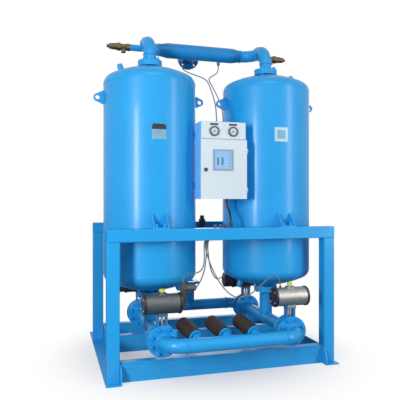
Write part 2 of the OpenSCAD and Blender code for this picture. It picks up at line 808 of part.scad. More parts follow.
// Tangent length of the bend at the middle of three points
function cut_back(a, b, c, r) = r * tan(acos(unit(b - a) * unit(c - b)) / 2);

// Straight rod between two points
module rod(a, b, d) {
    v = b - a;
    translate(a) rotate([0, acos(v[2] / norm(v)), atan2(v[1], v[0])]) cylinder(d = d, h = norm(v));
}

// Round arc that joins two legs at b with radius r
module arc(a, b, c, r, d) {
    u = unit(b - a);
    w = unit(c - b);
    turn = acos(u * w);
    t = cut_back(a, b, c, r);
    side = unit(w - u * (u * w));
    start = b - u * t;
    centre = start + side * r;
    axis = cross(-side, u);
    steep = abs(side[2]) > 0.999;
    roll = steep ? atan2(side[2] * u[0], u[1]) : atan2(u[2], axis[2]);
    yaw = steep ? 0 : atan2(-side[1], -side[0]);
    translate(centre) rotate([roll, asin(side[2]), yaw])
        rotate_extrude(angle = turn) translate([r, 0]) circle(d = d);
}

// Line of one diameter along a route, with a round bend at each inner point
module line(points, r, d) {
    last = len(points) - 1;
    for (i = [0 : last - 1]) {
        dir = unit(points[i + 1] - points[i]);
        from = i == 0 ? 0 : cut_back(points[i - 1], points[i], points[i + 1], r);
        to = i == last - 1 ? 0 : cut_back(points[i], points[i + 1], points[i + 2], r);
        rod(points[i] + dir * from, points[i + 1] - dir * to, d);
    }
    for (i = [1 : last - 1]) arc(points[i - 1], points[i], points[i + 1], r, d);
}

// Routes of the air lines, in square runs: two to the gauges and one to each actuator
tap_low = manifold_z - manifold_od / 2 - tap_h;
pilot_y = -front_face + post + pilot_d / 2;
GAUGE_ROUTES = [for (s = SIDES) [
    [s * gauge_tap, manifold_y, tap_low], [s * gauge_tap, manifold_y, tap_low - 80], [s * 24, manifold_y, tap_low - 80],
    [s * 24, manifold_y, tap_low - 190], [s * 24, -box_front + 80, tap_low - 190], [s * 24, -box_front + 80, box_z + box_h]
]];
function port_x(i) = (i - 1.5) * pilot_w / 4;
PILOT_ROUTES = [for (v = [0 : 3]) [
    [port_x(v), pilot_y, rail_low + pilot_rise], [port_x(v), pilot_y, 600],
    [port_x(v), VALVES[v][1] * valve_y, 600], [VALVES[v][0] * (tower_x - 70), VALVES[v][1] * valve_y, 600],
    [VALVES[v][0] * (tower_x - 70), VALVES[v][1] * valve_y, actuator_z + actuator_d / 2]
]];
CABLE_ROUTE = [
    [port_x(3), -box_back - 40, box_z], [port_x(3), -box_back - 40, box_z - 88], [port_x(3), pilot_y, box_z - 88],
    [port_x(3), pilot_y, rail_low + pilot_rise + pilot_h + coil_h]
];

module air_lines() {
    color("gray") {
        for (p = GAUGE_ROUTES) line(p, 30, line_d);
        for (p = PILOT_ROUTES) line(p, 25, line_d);
    }
}

module control_cable() {
    color([0.05, 0.05, 0.05]) line(CABLE_ROUTE, 40, cable_d);
}

// Shift that puts the middle of the whole dryer at the origin
module placed() {
    translate([0, tower_y, 0]) children();
}

placed() skid(-1);  // skid_left
placed() skid(1);  // skid_right
placed() base_beam(-front_face + 20);  // base_beam_front
placed() base_beam(250);  // base_beam_middle
placed() base_beam(rear_reach - post);  // base_beam_rear
placed() frame_post(-1, false);  // post_front_left
placed() frame_post(1, false);  // post_front_right
placed() frame_post(-1, true);  // post_rear_left
placed() frame_post(1, true);  // post_rear_right
placed() cross_rail(-front_face + post / 2);  // rail_front
placed() cross_rail(rear_reach - post / 2);  // rail_rear
placed() vessel(-1);  // vessel_left
placed() vessel(1);  // vessel_right
placed() lifting_lugs();
placed() port_plugs();
placed() desiccant(-1);  // desiccant_left
placed() desiccant(1);  // desiccant_right
placed() bed_screens();
placed() riser(-1);  // riser_left
placed() riser(1);  // riser_right
placed() outlet_manifold();
placed() safety_valve(-1);  // safety_valve_left
placed() safety_valve(1);  // safety_valve_right
placed() lower_tee(-1);  // lower_tee_left
placed() lower_tee(1);  // lower_tee_right
placed() exhaust_header();
placed() inlet_header();
placed() mufflers();
placed() valve_body(0);  // valve_body_front_left
placed() valve_body(1);  // valve_body_front_right
placed() valve_body(2);  // valve_body_rear_left
placed() valve_body(3);  // valve_body_rear_right
placed() valve_disc(0);  // valve_disc_front_left
placed() valve_disc(1);  // valve_disc_front_right
placed() valve_disc(2);  // valve_disc_rear_left
placed() valve_disc(3);  // valve_disc_rear_right
placed() actuator(0);  // actuator_front_left
placed() actuator(1);  // actuator_front_right
placed() actuator(2);  // actuator_rear_left
placed() actuator(3);  // actuator_rear_right
placed() actuator_caps();
placed() indicator(0);  // indicator_front_left
placed() indicator(1);  // indicator_front_right
placed() indicator(2);  // indicator_rear_left
placed() indicator(3);  // indicator_rear_right
placed() box_bracket();
placed() control_box();
placed() gauge_panel();
placed() box_door();
placed() door_lock();
placed() display_unit();
placed() gauges();
placed() pointer(-1);  // pointer_left
placed() pointer(1);  // pointer_right
placed() pilot_block();
placed() air_lines();
placed() control_cable();
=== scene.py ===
"""Dresses a twin-tower desiccant air dryer: paint, fasteners, plates, dials and a plain studio.

Every size is in metres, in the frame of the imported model: +Z up, -Y to the front.
"""

from __future__ import annotations

import json
import logging
import math
from collections.abc import Callable, Sequence
from dataclasses import dataclass, field
from enum import Enum
from typing import Any, Generic, TypeVar

import bpy
from mathutils import Matrix, Vector

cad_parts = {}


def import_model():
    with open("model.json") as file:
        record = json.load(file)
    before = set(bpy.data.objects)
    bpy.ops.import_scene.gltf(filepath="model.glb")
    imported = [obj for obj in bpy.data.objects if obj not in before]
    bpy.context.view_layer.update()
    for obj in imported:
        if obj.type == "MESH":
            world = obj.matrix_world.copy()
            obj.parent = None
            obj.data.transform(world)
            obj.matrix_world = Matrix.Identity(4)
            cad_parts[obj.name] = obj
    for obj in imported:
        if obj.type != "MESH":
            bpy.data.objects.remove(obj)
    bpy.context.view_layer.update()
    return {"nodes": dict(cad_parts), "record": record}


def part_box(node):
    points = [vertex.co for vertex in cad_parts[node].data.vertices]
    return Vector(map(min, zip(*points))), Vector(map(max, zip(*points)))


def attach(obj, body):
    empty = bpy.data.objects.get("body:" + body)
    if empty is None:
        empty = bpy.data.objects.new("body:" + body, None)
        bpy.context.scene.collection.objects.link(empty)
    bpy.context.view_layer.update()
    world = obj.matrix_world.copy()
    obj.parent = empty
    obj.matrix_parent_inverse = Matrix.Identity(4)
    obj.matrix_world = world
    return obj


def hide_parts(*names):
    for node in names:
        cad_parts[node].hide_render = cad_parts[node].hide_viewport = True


LOG = logging.getLogger("dryer")
Colour = tuple[float, float, float]
Point = tuple[float, float, float]
Span = tuple[float, float]
FaceTest = Callable[[Vector, Vector], bool]
Owner = TypeVar("Owner", bpy.types.Material, bpy.types.World)

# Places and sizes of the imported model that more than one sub-assembly needs
TOWER_X = 0.445
TOWER_Y = -0.129775
SHELL_R = 0.325
SHELL_Z = 0.632
SHELL_TOP = 1.950
VALVE_Y = 0.409
LOWER_Z = 0.253
HEADER_OUT = 0.586
MANIFOLD_Y = TOWER_Y + 0.248
MANIFOLD_Z = 2.288
BOX_FRONT = TOWER_Y - 0.318
GAUGE_X = 0.067
SOLENOID_X = 0.306
SOLENOID_TOP = 0.605
WHITE = (1.0, 1.0, 1.0)

# Limits of the face tests: share of a normal along an axis, and distance from the axis
FACING = 0.9
ON_AXIS = 0.001


class Side(Enum):
    """The two towers."""

    LEFT = -1
    RIGHT = 1

    @property
    def label(self) -> str:
        """Name as used for pieces."""
        return self.name.lower()

    @property
    def x(self) -> float:
        """Place of the tower's axis."""
        return self.value * TOWER_X


class Corner(Enum):
    """The four shut-off valves, by tower and end."""

    FRONT_LEFT = (-1, -1)
    FRONT_RIGHT = (1, -1)
    REAR_LEFT = (-1, 1)
    REAR_RIGHT = (1, 1)

    @property
    def label(self) -> str:
        """Name as used for nodes and bodies."""
        return self.name.lower()

    @property
    def centre(self) -> Vector:
        """Middle of the valve's bore."""
        return Vector((self.value[0] * TOWER_X, TOWER_Y + self.value[1] * VALVE_Y, LOWER_Z))


class Body(Enum):
    """Bodies that the pieces ride on."""

    DRYER = "dryer"
    DOOR = "door"


class Slot(Enum):
    """The record's material slots that the pieces belong to."""

    ACTUATOR = "actuator"
    BARE_STEEL = "bare_steel"
    BLUE_PAINT = "blue_paint"
    BRASS = "brass"
    CABLE = "cable"
    DISPLAY = "display"
    GAUGE = "gauge"
    LINE = "line"
    PILOT = "pilot"
    POINTER = "pointer"


class Sock:
    """A shader socket that takes part in arithmetic."""

    def __init__(self, graph: Graph[Any], socket: bpy.types.NodeSocket) -> None:
        """Keeps the graph that new Math nodes go to."""
        self.graph = graph
        self.socket = socket

    def math(self, operation: str, first: Any, second: Any) -> Sock:
        """Adds one Math node.

        Args:
            operation: Blender's name of the operation.
            first: left operand.
            second: right operand.

        Returns:
            The node's result.
        """
        return self.graph.node("ShaderNodeMath", {"operation": operation}, {0: first, 1: second})

    def __add__(self, other: Any) -> Sock:
        """Sum."""
        return self.math("ADD", self, other)

    def __radd__(self, other: Any) -> Sock:
        """Sum with the number first."""
        return self.math("ADD", other, self)

    def __sub__(self, other: Any) -> Sock:
        """Difference."""
        return self.math("SUBTRACT", self, other)

    def __rsub__(self, other: Any) -> Sock:
        """Difference with the number first."""
        return self.math("SUBTRACT", other, self)

    def __mul__(self, other: Any) -> Sock:
        """Product."""
        return self.math("MULTIPLY", self, other)

    def __rmul__(self, other: Any) -> Sock:
        """Product with the number first."""
        return self.math("MULTIPLY", other, self)


class Graph(Generic[Owner]):
    """The node tree of a material or of the world, with a single way to add nodes."""

    def __init__(self, owner: Owner) -> None:
        """Starts an empty tree.

        Args:
            owner: the material or world that the tree belongs to.
        """
        owner.use_nodes = True
        self.owner = owner
        self.tree = owner.node_tree
        self.tree.nodes.clear()

    def node(
        self,
        kind: str,
        settings: dict[str, Any] | None = None,
        inputs: dict[Any, Any] | None = None,
        out: Any = 0,
    ) -> Sock:
        """Adds a node.

        Args:
            kind: node type.
            settings: properties, set first.
            inputs: values or sockets by input name or number.
            out: output to return.

        Returns:
            The chosen output.
        """
        made = self.tree.nodes.new(kind)
        for key, value in (settings or {}).items():
            setattr(made, key, value)
        for key, value in (inputs or {}).items():
            target = made.inputs[key]
            if isinstance(value, Sock):
                self.tree.links.new(value.socket, target)
            elif target.type == "RGBA":
                target.default_value = (*value, 1.0)
            else:
                target.default_value = value
        return Sock(self, made.outputs[out])

    def place(self) -> Sock:
        """Object coordinates."""
        return self.node("ShaderNodeTexCoord", out="Object")

    def noise(self, scale: float, where: Sock, detail: float = 3.0) -> Sock:
        """Noise of about one over scale metres."""
        inputs = {"Vector": where, "Scale": scale, "Detail": detail}
        return self.node("ShaderNodeTexNoise", {}, inputs, "Fac")

    def cells(self, scale: float, where: Sock) -> Sock:
        """Distance from the middles of round beads of about one over scale metres."""
        return self.node("ShaderNodeTexVoronoi", {}, {"Vector": where, "Scale": scale}, "Distance")

    def mix(self, share: Any, first: Any, second: Any) -> Sock:
        """Mixes two colours."""
        return self.node("ShaderNodeMix", {"data_type": "RGBA"}, {0: share, 6: first, 7: second}, 2)

    def ramp(self, value: Sock, span: Span) -> Sock:
        """Maps a span smoothly onto 0 to 1, clamped."""
        settings = {"interpolation_type": "SMOOTHSTEP"}
        return self.node("ShaderNodeMapRange", settings, {0: value, 1: span[0], 2: span[1], 3: 0.0, 4: 1.0})

    def bump(self, height: Sock, strength: float, distance: float) -> Sock:
        """Bump of a given height in metres."""
        return self.node("ShaderNodeBump", {}, {"Height": height, "Strength": strength, "Distance": distance})

    def surface(self, inputs: dict[str, Any]) -> Owner:
        """Ends a material with a Principled shader that has the given sockets."""
        return self.close(self.node("ShaderNodeBsdfPrincipled", {}, inputs))

    def close(self, shader: Sock) -> Owner:
        """Joins a shader to the tree's output.

        Args:
            shader: the last shader of the tree.

        Returns:
            The finished material or world.
        """
        use = "World" if isinstance(self.owner, bpy.types.World) else "Material"
        end = self.tree.nodes.new(f"ShaderNodeOutput{use}")
        self.tree.links.new(shader.socket, end.inputs["Surface"])
        return self.owner


@dataclass(frozen=True)
class PaintFinish:
    """Sprayed paint with a faint orange peel, uneven tone and dust near the floor."""

    name: str
    colour: Colour
    deep: Colour
    rough: float = 0.36
    coat: float = 0.14
    coat_rough: float = 0.12
    sheen: float = 0.3
    cloud_scale: float = 2.6
    cloud_span: Span = (0.3, 0.72)
    cloud_share: float = 0.55
    speck_scale: float = 60.0
    speck_span: Span = (0.35, 0.75)
    speck_share: float = 0.12
    speck_rough: float = 0.06
    dust: float = 0.06
    dust_colour: Colour = (0.55, 0.56, 0.56)
    dust_span: Span = (0.0, 0.3)
    dust_rough: float = 0.12
    peel_scale: float = 420.0
    peel_strength: float = 0.05
    peel_height: float = 0.0005

    def make(self) -> bpy.types.Material:
        """Builds the material.

        Returns:
            The material.
        """
        g = Graph(bpy.data.materials.new(self.name))
        where = g.place()
        height = g.node("ShaderNodeSeparateXYZ", {}, {0: where}, "Z")
        cloud = g.noise(self.cloud_scale, where, detail=4.0)
        speck = g.noise(self.speck_scale, where, detail=4.0)
        uneven = g.ramp(cloud, self.cloud_span) * self.cloud_share + speck * self.speck_share
        low = 1.0 - g.ramp(height, self.dust_span)
        dusty = low * g.ramp(speck, self.speck_span) * self.dust
        peel = g.noise(self.peel_scale, where, detail=2.0)
        return g.surface(
            {
                "Base Color": g.mix(dusty, g.mix(uneven, self.colour, self.deep), self.dust_colour),
                "Roughness": self.rough + speck * self.speck_rough + low * self.dust_rough,
                "Coat Weight": self.coat,
                "Coat Roughness": self.coat_rough,
                "Specular IOR Level": self.sheen,
                "Normal": g.bump(peel, self.peel_strength, self.peel_height),
            }
        )


@dataclass(frozen=True)
class MetalFinish:
    """Bare metal with fine turning or brushing marks and small stains."""

    name: str
    colour: Colour
    stain: Colour
    rough: float = 0.32
    metallic: float = 1.0
    grain_scale: float = 300.0
    grain_stretch: Point = (0.15, 1.0, 1.0)
    grain_rough: float = 0.16
    grain_strength: float = 0.18
    grain_height: float = 0.0003
    stain_scale: float = 38.0
    stain_span: Span = (0.45, 0.8)
    stain_share: float = 0.6
    stain_rough: float = 0.08

    def make(self) -> bpy.types.Material:
        """Builds the material.

        Returns:
            The material.
        """
        g = Graph(bpy.data.materials.new(self.name))
        where = g.place()
        stretched = g.node("ShaderNodeMapping", {}, {"Vector": where, "Scale": self.grain_stretch})
        grain = g.noise(self.grain_scale, stretched)
        patch = g.noise(self.stain_scale, where, detail=5.0)
        stained = g.ramp(patch, self.stain_span) * self.stain_share
        return g.surface(
            {
                "Base Color": g.mix(stained, self.colour, self.stain),
                "Metallic": self.metallic,
                "Roughness": self.rough + grain * self.grain_rough + patch * self.stain_rough,
                "Normal": g.bump(grain, self.grain_strength, self.grain_height),
            }
        )


@dataclass(frozen=True)
class PlasticFinish:
    """Moulded plastic or rubber with a fine skin texture and faded patches."""

    name: str
    colour: Colour
    rough: float = 0.45
    skin_scale: float = 500.0
    skin_rough: float = 0.12
    skin_strength: float = 0.3
    skin_height: float = 0.0003
    fade: float = 0.12
    fade_grey: float = 0.6
    fade_scale: float = 18.0
    fade_span: Span = (0.35, 0.8)

    def make(self) -> bpy.types.Material:
        """Builds the material.

        Returns:
            The material.
        """
        g = Graph(bpy.data.materials.new(self.name))
        where = g.place()
        skin = g.noise(self.skin_scale, where, detail=2.0)
        cloud = g.noise(self.fade_scale, where)
        pale = tuple(c + (self.fade_grey - c) * self.fade for c in self.colour)
        return g.surface(
            {
                "Base Color": g.mix(g.ramp(cloud, self.fade_span), self.colour, pale),
                "Roughness": self.rough + skin * self.skin_rough,
                "Normal": g.bump(skin, self.skin_strength, self.skin_height),
            }
        )


@dataclass(frozen=True)
class PorousFinish:
    """Sintered brown beads of a silencer."""

    name: str
    colour: Colour
    bright: Colour
    rough: float = 0.55
    bead_scale: float = 320.0
    bead_span: Span = (0.1, 0.7)
    bead_share: float = 0.5
    bead_rough: float = 0.25
    bead_strength: float = 0.6
    bead_height: float = 0.0012
    cloud_scale: float = 24.0
    cloud_share: float = 0.3

    def make(self) -> bpy.types.Material:
        """Builds the material.

        Returns:
            The material.
        """
        g = Graph(bpy.data.materials.new(self.name))
        where = g.place()
        bead = g.cells(self.bead_scale, where)
        cloud = g.noise(self.cloud_scale, where, detail=4.0)
        deep = g.ramp(bead, self.bead_span) * self.bead_share + cloud * self.cloud_share
        return g.surface(
            {
                "Base Color": g.mix(deep, self.bright, self.colour),
                "Roughness": self.rough + bead * self.bead_rough,
                "Normal": g.bump(1.0 - bead, self.bead_strength, self.bead_height),
            }
        )


@dataclass(frozen=True)
class GlassFinish:
    """Thin clear cover over a dial, with faint smears."""

    name: str
    tint: Colour = (0.9, 0.95, 0.97)
    rough: float = 0.04
    smear_scale: float = 40.0
    smear_rough: float = 0.06
    alpha: float = 0.16
    coat: float = 0.4

    def make(self) -> bpy.types.Material:
        """Builds the material.

        Returns:
            The material.
        """
        g = Graph(bpy.data.materials.new(self.name))
        smear = g.noise(self.smear_scale, g.place())
        return g.surface(
            {
                "Base Color": self.tint,
                "Roughness": self.rough + smear * self.smear_rough,
                "Alpha": self.alpha,
                "Coat Weight": self.coat,
            }
        )


@dataclass(frozen=True)
class BeadFinish:
    """White activated alumina beads, seen only when a tower is cut open."""

    name: str
    colour: Colour = (0.94, 0.93, 0.9)
    gap: Colour = (0.62, 0.6, 0.56)
    rough: float = 0.7
    bead_scale: float = 160.0
    bead_span: Span = (0.1, 0.8)
    bead_rough: float = 0.2
    bead_strength: float = 0.8
    bead_height: float = 0.003

    def make(self) -> bpy.types.Material:
        """Builds the material.

        Returns:
            The material.
        """
        g = Graph(bpy.data.materials.new(self.name))
        bead = g.cells(self.bead_scale, g.place())
        return g.surface(
            {
                "Base Color": g.mix(g.ramp(bead, self.bead_span), self.colour, self.gap),
                "Roughness": self.rough + bead * self.bead_rough,
                "Normal": g.bump(1.0 - bead, self.bead_strength, self.bead_height),
            }
        )


class Shop:
    """All finishes by name, each made once."""

    FINISHES = (
        PaintFinish("blue_paint", (0.016, 0.35, 0.76), (0.012, 0.31, 0.7)),
        # Painted shade: a darker copy of the blue paint for the outlet manifold, which sits in shade behind
        # the towers.
        PaintFinish("blue_painted_shade", (0.01, 0.24, 0.57), (0.008, 0.2, 0.5)),
        PaintFinish("valve_paint", (0.05, 0.25, 0.48), (0.03, 0.17, 0.36), rough=0.4, coat=0.2),
        PaintFinish("box_white", (0.66, 0.74, 0.79), (0.58, 0.66, 0.72), rough=0.4, coat=0.1, dust=0.0),
        PaintFinish("box_side", (0.2, 0.6, 0.96), (0.17, 0.54, 0.9), rough=0.4, coat=0.1, dust=0.0),
        PaintFinish("cap_black", (0.012, 0.012, 0.014), (0.02, 0.02, 0.022), rough=0.35, coat=0.3, dust=0.0),
        MetalFinish("bare_steel", (0.55, 0.55, 0.56), (0.38, 0.36, 0.34)),
        MetalFinish("zinc", (0.62, 0.63, 0.64), (0.45, 0.44, 0.42), rough=0.36),
        MetalFinish("brass", (0.16, 0.125, 0.07), (0.1, 0.075, 0.042), rough=0.45),
        MetalFinish("actuator", (0.4, 0.39, 0.37), (0.26, 0.25, 0.23), 0.3, 0.9, grain_scale=500.0),
        # Painted reflection: a darker copy of the actuator finish that stands in for the darker surroundings
        # the left front actuator reflects.
        MetalFinish("actuator_painted_shade", (0.13, 0.14, 0.145), (0.08, 0.08, 0.08), 0.38, 0.8, grain_scale=500.0),
        MetalFinish("actuator_dark", (0.05, 0.05, 0.052), (0.03, 0.03, 0.032), rough=0.42, metallic=0.4),
        MetalFinish("bezel", (0.09, 0.12, 0.14), (0.06, 0.08, 0.09), rough=0.45, metallic=0.3),
        MetalFinish("plate", (0.2, 0.38, 0.52), (0.15, 0.31, 0.44), rough=0.45, metallic=0.3),
        MetalFinish("plate_pale", (0.44, 0.62, 0.7), (0.36, 0.54, 0.62), rough=0.45, metallic=0.3),
        PlasticFinish("indicator", (0.55, 0.68, 0.03), rough=0.35),
        PlasticFinish("pointer", (0.012, 0.012, 0.012), rough=0.5),
        PlasticFinish("pilot", (0.03, 0.03, 0.034), rough=0.5),
        PlasticFinish("line", (0.1, 0.13, 0.18), rough=0.35),
        PlasticFinish("cable", (0.012, 0.012, 0.012), rough=0.55, skin_scale=260.0),
        PlasticFinish("display", (0.24, 0.34, 0.45), rough=0.5),
        PlasticFinish("screen", (0.26, 0.5, 0.8), rough=0.22, fade=0.08),
        PlasticFinish("key", (0.035, 0.17, 0.24), rough=0.4, fade=0.05),
        PlasticFinish("dark_band", (0.01, 0.016, 0.03), rough=0.35, fade=0.03),
        PlasticFinish("dial", (0.6, 0.68, 0.7), rough=0.5, fade=0.0),
        PlasticFinish("seal", (0.16, 0.2, 0.2), rough=0.7),
        PorousFinish("muffler", (0.005, 0.003, 0.003), (0.04, 0.02, 0.014)),
        GlassFinish("glass"),
        BeadFinish("bead"),
    )

    def __init__(self) -> None:
        """Makes every finish."""
        self.made: dict[str, bpy.types.Material] = {f.name: f.make() for f in self.FINISHES}

    def paint(self, obj: bpy.types.Object, finish: str) -> None:
        """Gives an object one finish all over."""
        obj.data.materials.clear()
        obj.data.materials.append(self.made[finish])


def turned(axis: str, angle: float, move: Sequence[float] = (0, 0, 0)) -> Matrix:
    """Turn in degrees about a main axis, then a move."""
    return Matrix.Translation(Vector(move)) @ Matrix.Rotation(math.radians(angle), 4, axis)


def to_front(place: Sequence[float]) -> Matrix:
    """Place of a piece whose top is to look to the front."""
    return turned("X", 90, place)


def up(_centre: Vector, normal: Vector) -> bool:
    """Faces that look up."""
    return normal.z > FACING


def down(_centre: Vector, normal: Vector) -> bool:
    """Faces that look down."""
    return normal.z < -FACING


def forward(_centre: Vector, normal: Vector) -> bool:
    """Faces that look to the front."""
    return normal.y < -FACING


def tip(centre: Vector, normal: Vector) -> bool:
    """The face on the axis that looks up."""
    return up(centre, normal) and centre.xy.length < ON_AXIS


def above(height: float) -> FaceTest:
    """Test for the faces over a height that look up."""
    return lambda centre, normal: up(centre, normal) and centre.z > height


class Bench:
    """Hand tools: adds, shapes, copies and joins meshes with operators."""

    SMOOTH_BELOW = math.radians(35)

    @staticmethod
    def clear() -> None:
        """Leaves edit mode and deselects everything."""
        if bpy.context.mode != "OBJECT":
            bpy.ops.object.mode_set(mode="OBJECT")
        bpy.ops.object.select_all(action="DESELECT")

    @classmethod
    def choose(cls, obj: bpy.types.Object) -> None:
        """Selects one object alone and makes it active.

        Args:
            obj: the object to work on.
        """
        cls.clear()
        obj.select_set(True)
        bpy.context.view_layer.objects.active = obj

    @staticmethod
    def started(name: str) -> bpy.types.Object:
        """Names the primitive that was just added and applies its place.

        Args:
            name: the new object's name.

        Returns:
            The object, at the origin.
        """
        obj = bpy.context.active_object
        obj.name = name
        obj.data.name = name
        bpy.ops.object.transform_apply(location=True, rotation=True, scale=True)
        return obj

    @classmethod
    def rod(
        cls, name: str, radius: float, length: float, sides: int, low: float = 0.0
    ) -> bpy.types.Object:
        """Adds an upright cylinder or prism.

        Args:
            name: the rod's name.
            radius: radius over the corners.
            length: height.
            sides: number of sides.
            low: height of its foot.

        Returns:
            The rod.
        """
        cls.clear()
        middle = (0, 0, low + length / 2)
        bpy.ops.mesh.primitive_cylinder_add(vertices=sides, radius=radius, depth=length, location=middle)
        return cls.started(name)

    @classmethod
    def block(cls, name: str, size: Point) -> bpy.types.Object:
        """Adds a box that stands on z = 0.

        Args:
            name: the block's name.
            size: width, depth and height.

        Returns:
            The block.
        """
        cls.clear()
        bpy.ops.mesh.primitive_cube_add(size=1, location=(0, 0, size[2] / 2), scale=size)
        return cls.started(name)

    @classmethod
    def ring(cls, name: str, radius: float, thick: float, turns: int, sides: int) -> bpy.types.Object:
        """Adds a round ring about Z at z = 0.

        Args:
            name: the ring's name.
            radius: radius of its middle line.
            thick: radius of its section.
            turns: slices round the ring.
            sides: sides of its section.

        Returns:
            The ring.
        """
        cls.clear()
        bpy.ops.mesh.primitive_torus_add(
            major_radius=radius, minor_radius=thick, major_segments=turns, minor_segments=sides
        )
        return cls.started(name)

    @classmethod
    def pick(cls, obj: bpy.types.Object, test: FaceTest) -> None:
        """Enters edit mode with chosen faces selected.

        Args:
            obj: the object to edit.
            test: passes a face by its centre and normal.
        """
        cls.choose(obj)
        bpy.ops.object.mode_set(mode="EDIT")
        bpy.ops.mesh.select_mode(type="FACE")
        bpy.ops.mesh.select_all(action="DESELECT")
        bpy.ops.object.mode_set(mode="OBJECT")
        for face in obj.data.polygons:
            face.select = test(face.center, face.normal)
        bpy.ops.object.mode_set(mode="EDIT")

    @classmethod
    def inset(cls, obj: bpy.types.Object, test: FaceTest, rim: Span) -> None:
        """Insets chosen faces.

        Args:
            obj: the object to edit.
            test: passes a face by its centre and normal.
            rim: the rim's width, and how far the field inside it is raised.
        """
        cls.pick(obj, test)
        bpy.ops.mesh.inset(thickness=rim[0], depth=rim[1])
        bpy.ops.object.mode_set(mode="OBJECT")

    @classmethod
    def raise_top(cls, obj: bpy.types.Object, test: FaceTest, rise: float, taper: float = 1.0) -> None:
        """Extrudes chosen faces upward.

        Args:
            obj: the object to edit.
            test: passes a face by its centre and normal.
            rise: how far they go up.
            taper: size of the end as a share of the start.
        """
        cls.pick(obj, test)
        bpy.ops.mesh.extrude_region_move(TRANSFORM_OT_translate={"value": (0, 0, rise)})
        if taper != 1.0:
            bpy.ops.transform.resize(value=(taper, taper, taper))
        bpy.ops.object.mode_set(mode="OBJECT")

    @classmethod
    def soften(cls, obj: bpy.types.Object, width: float, segments: int = 2) -> None:
        """Bevels the sharp edges with an applied modifier and shades by angle.

        Args:
            obj: the object to finish.
            width: width of the bevel.
            segments: steps of the bevel.
        """
        cls.choose(obj)
        bevel = obj.modifiers.new("soft", "BEVEL")
        bevel.width = width
        bevel.segments = segments
        bevel.limit_method = "ANGLE"
        bpy.ops.object.modifier_apply(modifier=bevel.name)
        bpy.ops.object.shade_smooth_by_angle(angle=cls.SMOOTH_BELOW)

    @classmethod
    def joined(cls, parts: Sequence[bpy.types.Object], name: str) -> bpy.types.Object:
        """Joins objects to one.

        Args:
            parts: the objects, which share one place.
            name: the joined object's name.

        Returns:
            The joined object, selected.
        """
        cls.clear()
        for part in parts:
            part.select_set(True)
        bpy.context.view_layer.objects.active = parts[0]
        if len(parts) > 1:
            bpy.ops.object.join()
        obj = bpy.context.active_object
        obj.name = name
        return obj

    @classmethod
    def copies(cls, master: bpy.types.Object, places: Sequence[Matrix], name: str) -> bpy.types.Object:
        """Copies a master to places and joins the copies to one object.

        Args:
            master: the shape to repeat, at the origin, which stays.
            places: one matrix for each copy.
            name: the joined object's name.

        Returns:
            The joined object, at the origin.
        """
        made = []
        for place in places:
            twin = bpy.data.objects.new(name, master.data.copy())
            bpy.context.scene.collection.objects.link(twin)
            twin.matrix_world = place
            made.append(twin)
        obj = cls.joined(made, name)
        bpy.ops.object.transform_apply(location=True, rotation=True, scale=True)
        return obj


@dataclass(frozen=True)
class PadForm:
    """A flat block with a rim round its raised or sunk top."""

    size: Point
    rim: Span
    edge: float
    steps: int = 1

    def make(self, name: str) -> bpy.types.Object:
        """Makes the pad on z = 0.

        Args:
            name: the pad's name.

        Returns:
            The pad.
        """
        pad = Bench.block(name, self.size)
        Bench.inset(pad, up, self.rim)
        Bench.soften(pad, self.edge, self.steps)
        return pad


@dataclass
class Dresser:
    """What every sub-assembly shares: the finishes and a log of its pieces."""

    shop: Shop

    def done(self, obj: bpy.types.Object, finish: str, slot: Slot, body: Body = Body.DRYER) -> None:
        """Paints a piece, ties it to its body, and logs it.

        Args:
            obj: the finished piece.
            finish: name of its finish.
            slot: material slot that it belongs to; not used.
            body: body that it rides on.
        """
        self.shop.paint(obj, finish)
        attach(obj, body.value)
        LOG.info("piece %s on %s", obj.name, body.value)

    def fit(
        self,
        master: bpy.types.Object,
        pieces: dict[str, list[Matrix]],
        finish: str,
        slot: Slot,
        body: Body = Body.DRYER,
    ) -> None:
        """Makes pieces from copies of one master, which is then removed.

        Args:
            master: the shape to repeat, at the origin.
            pieces: places of the copies, by the name of the piece that they are joined to.
            finish: name of the pieces' finish.
            slot: material slot that they belong to.
            body: body that they ride on.
        """
        for name, places in pieces.items():
            self.done(Bench.copies(master, places, name), finish, slot, body)
        bpy.data.objects.remove(master)


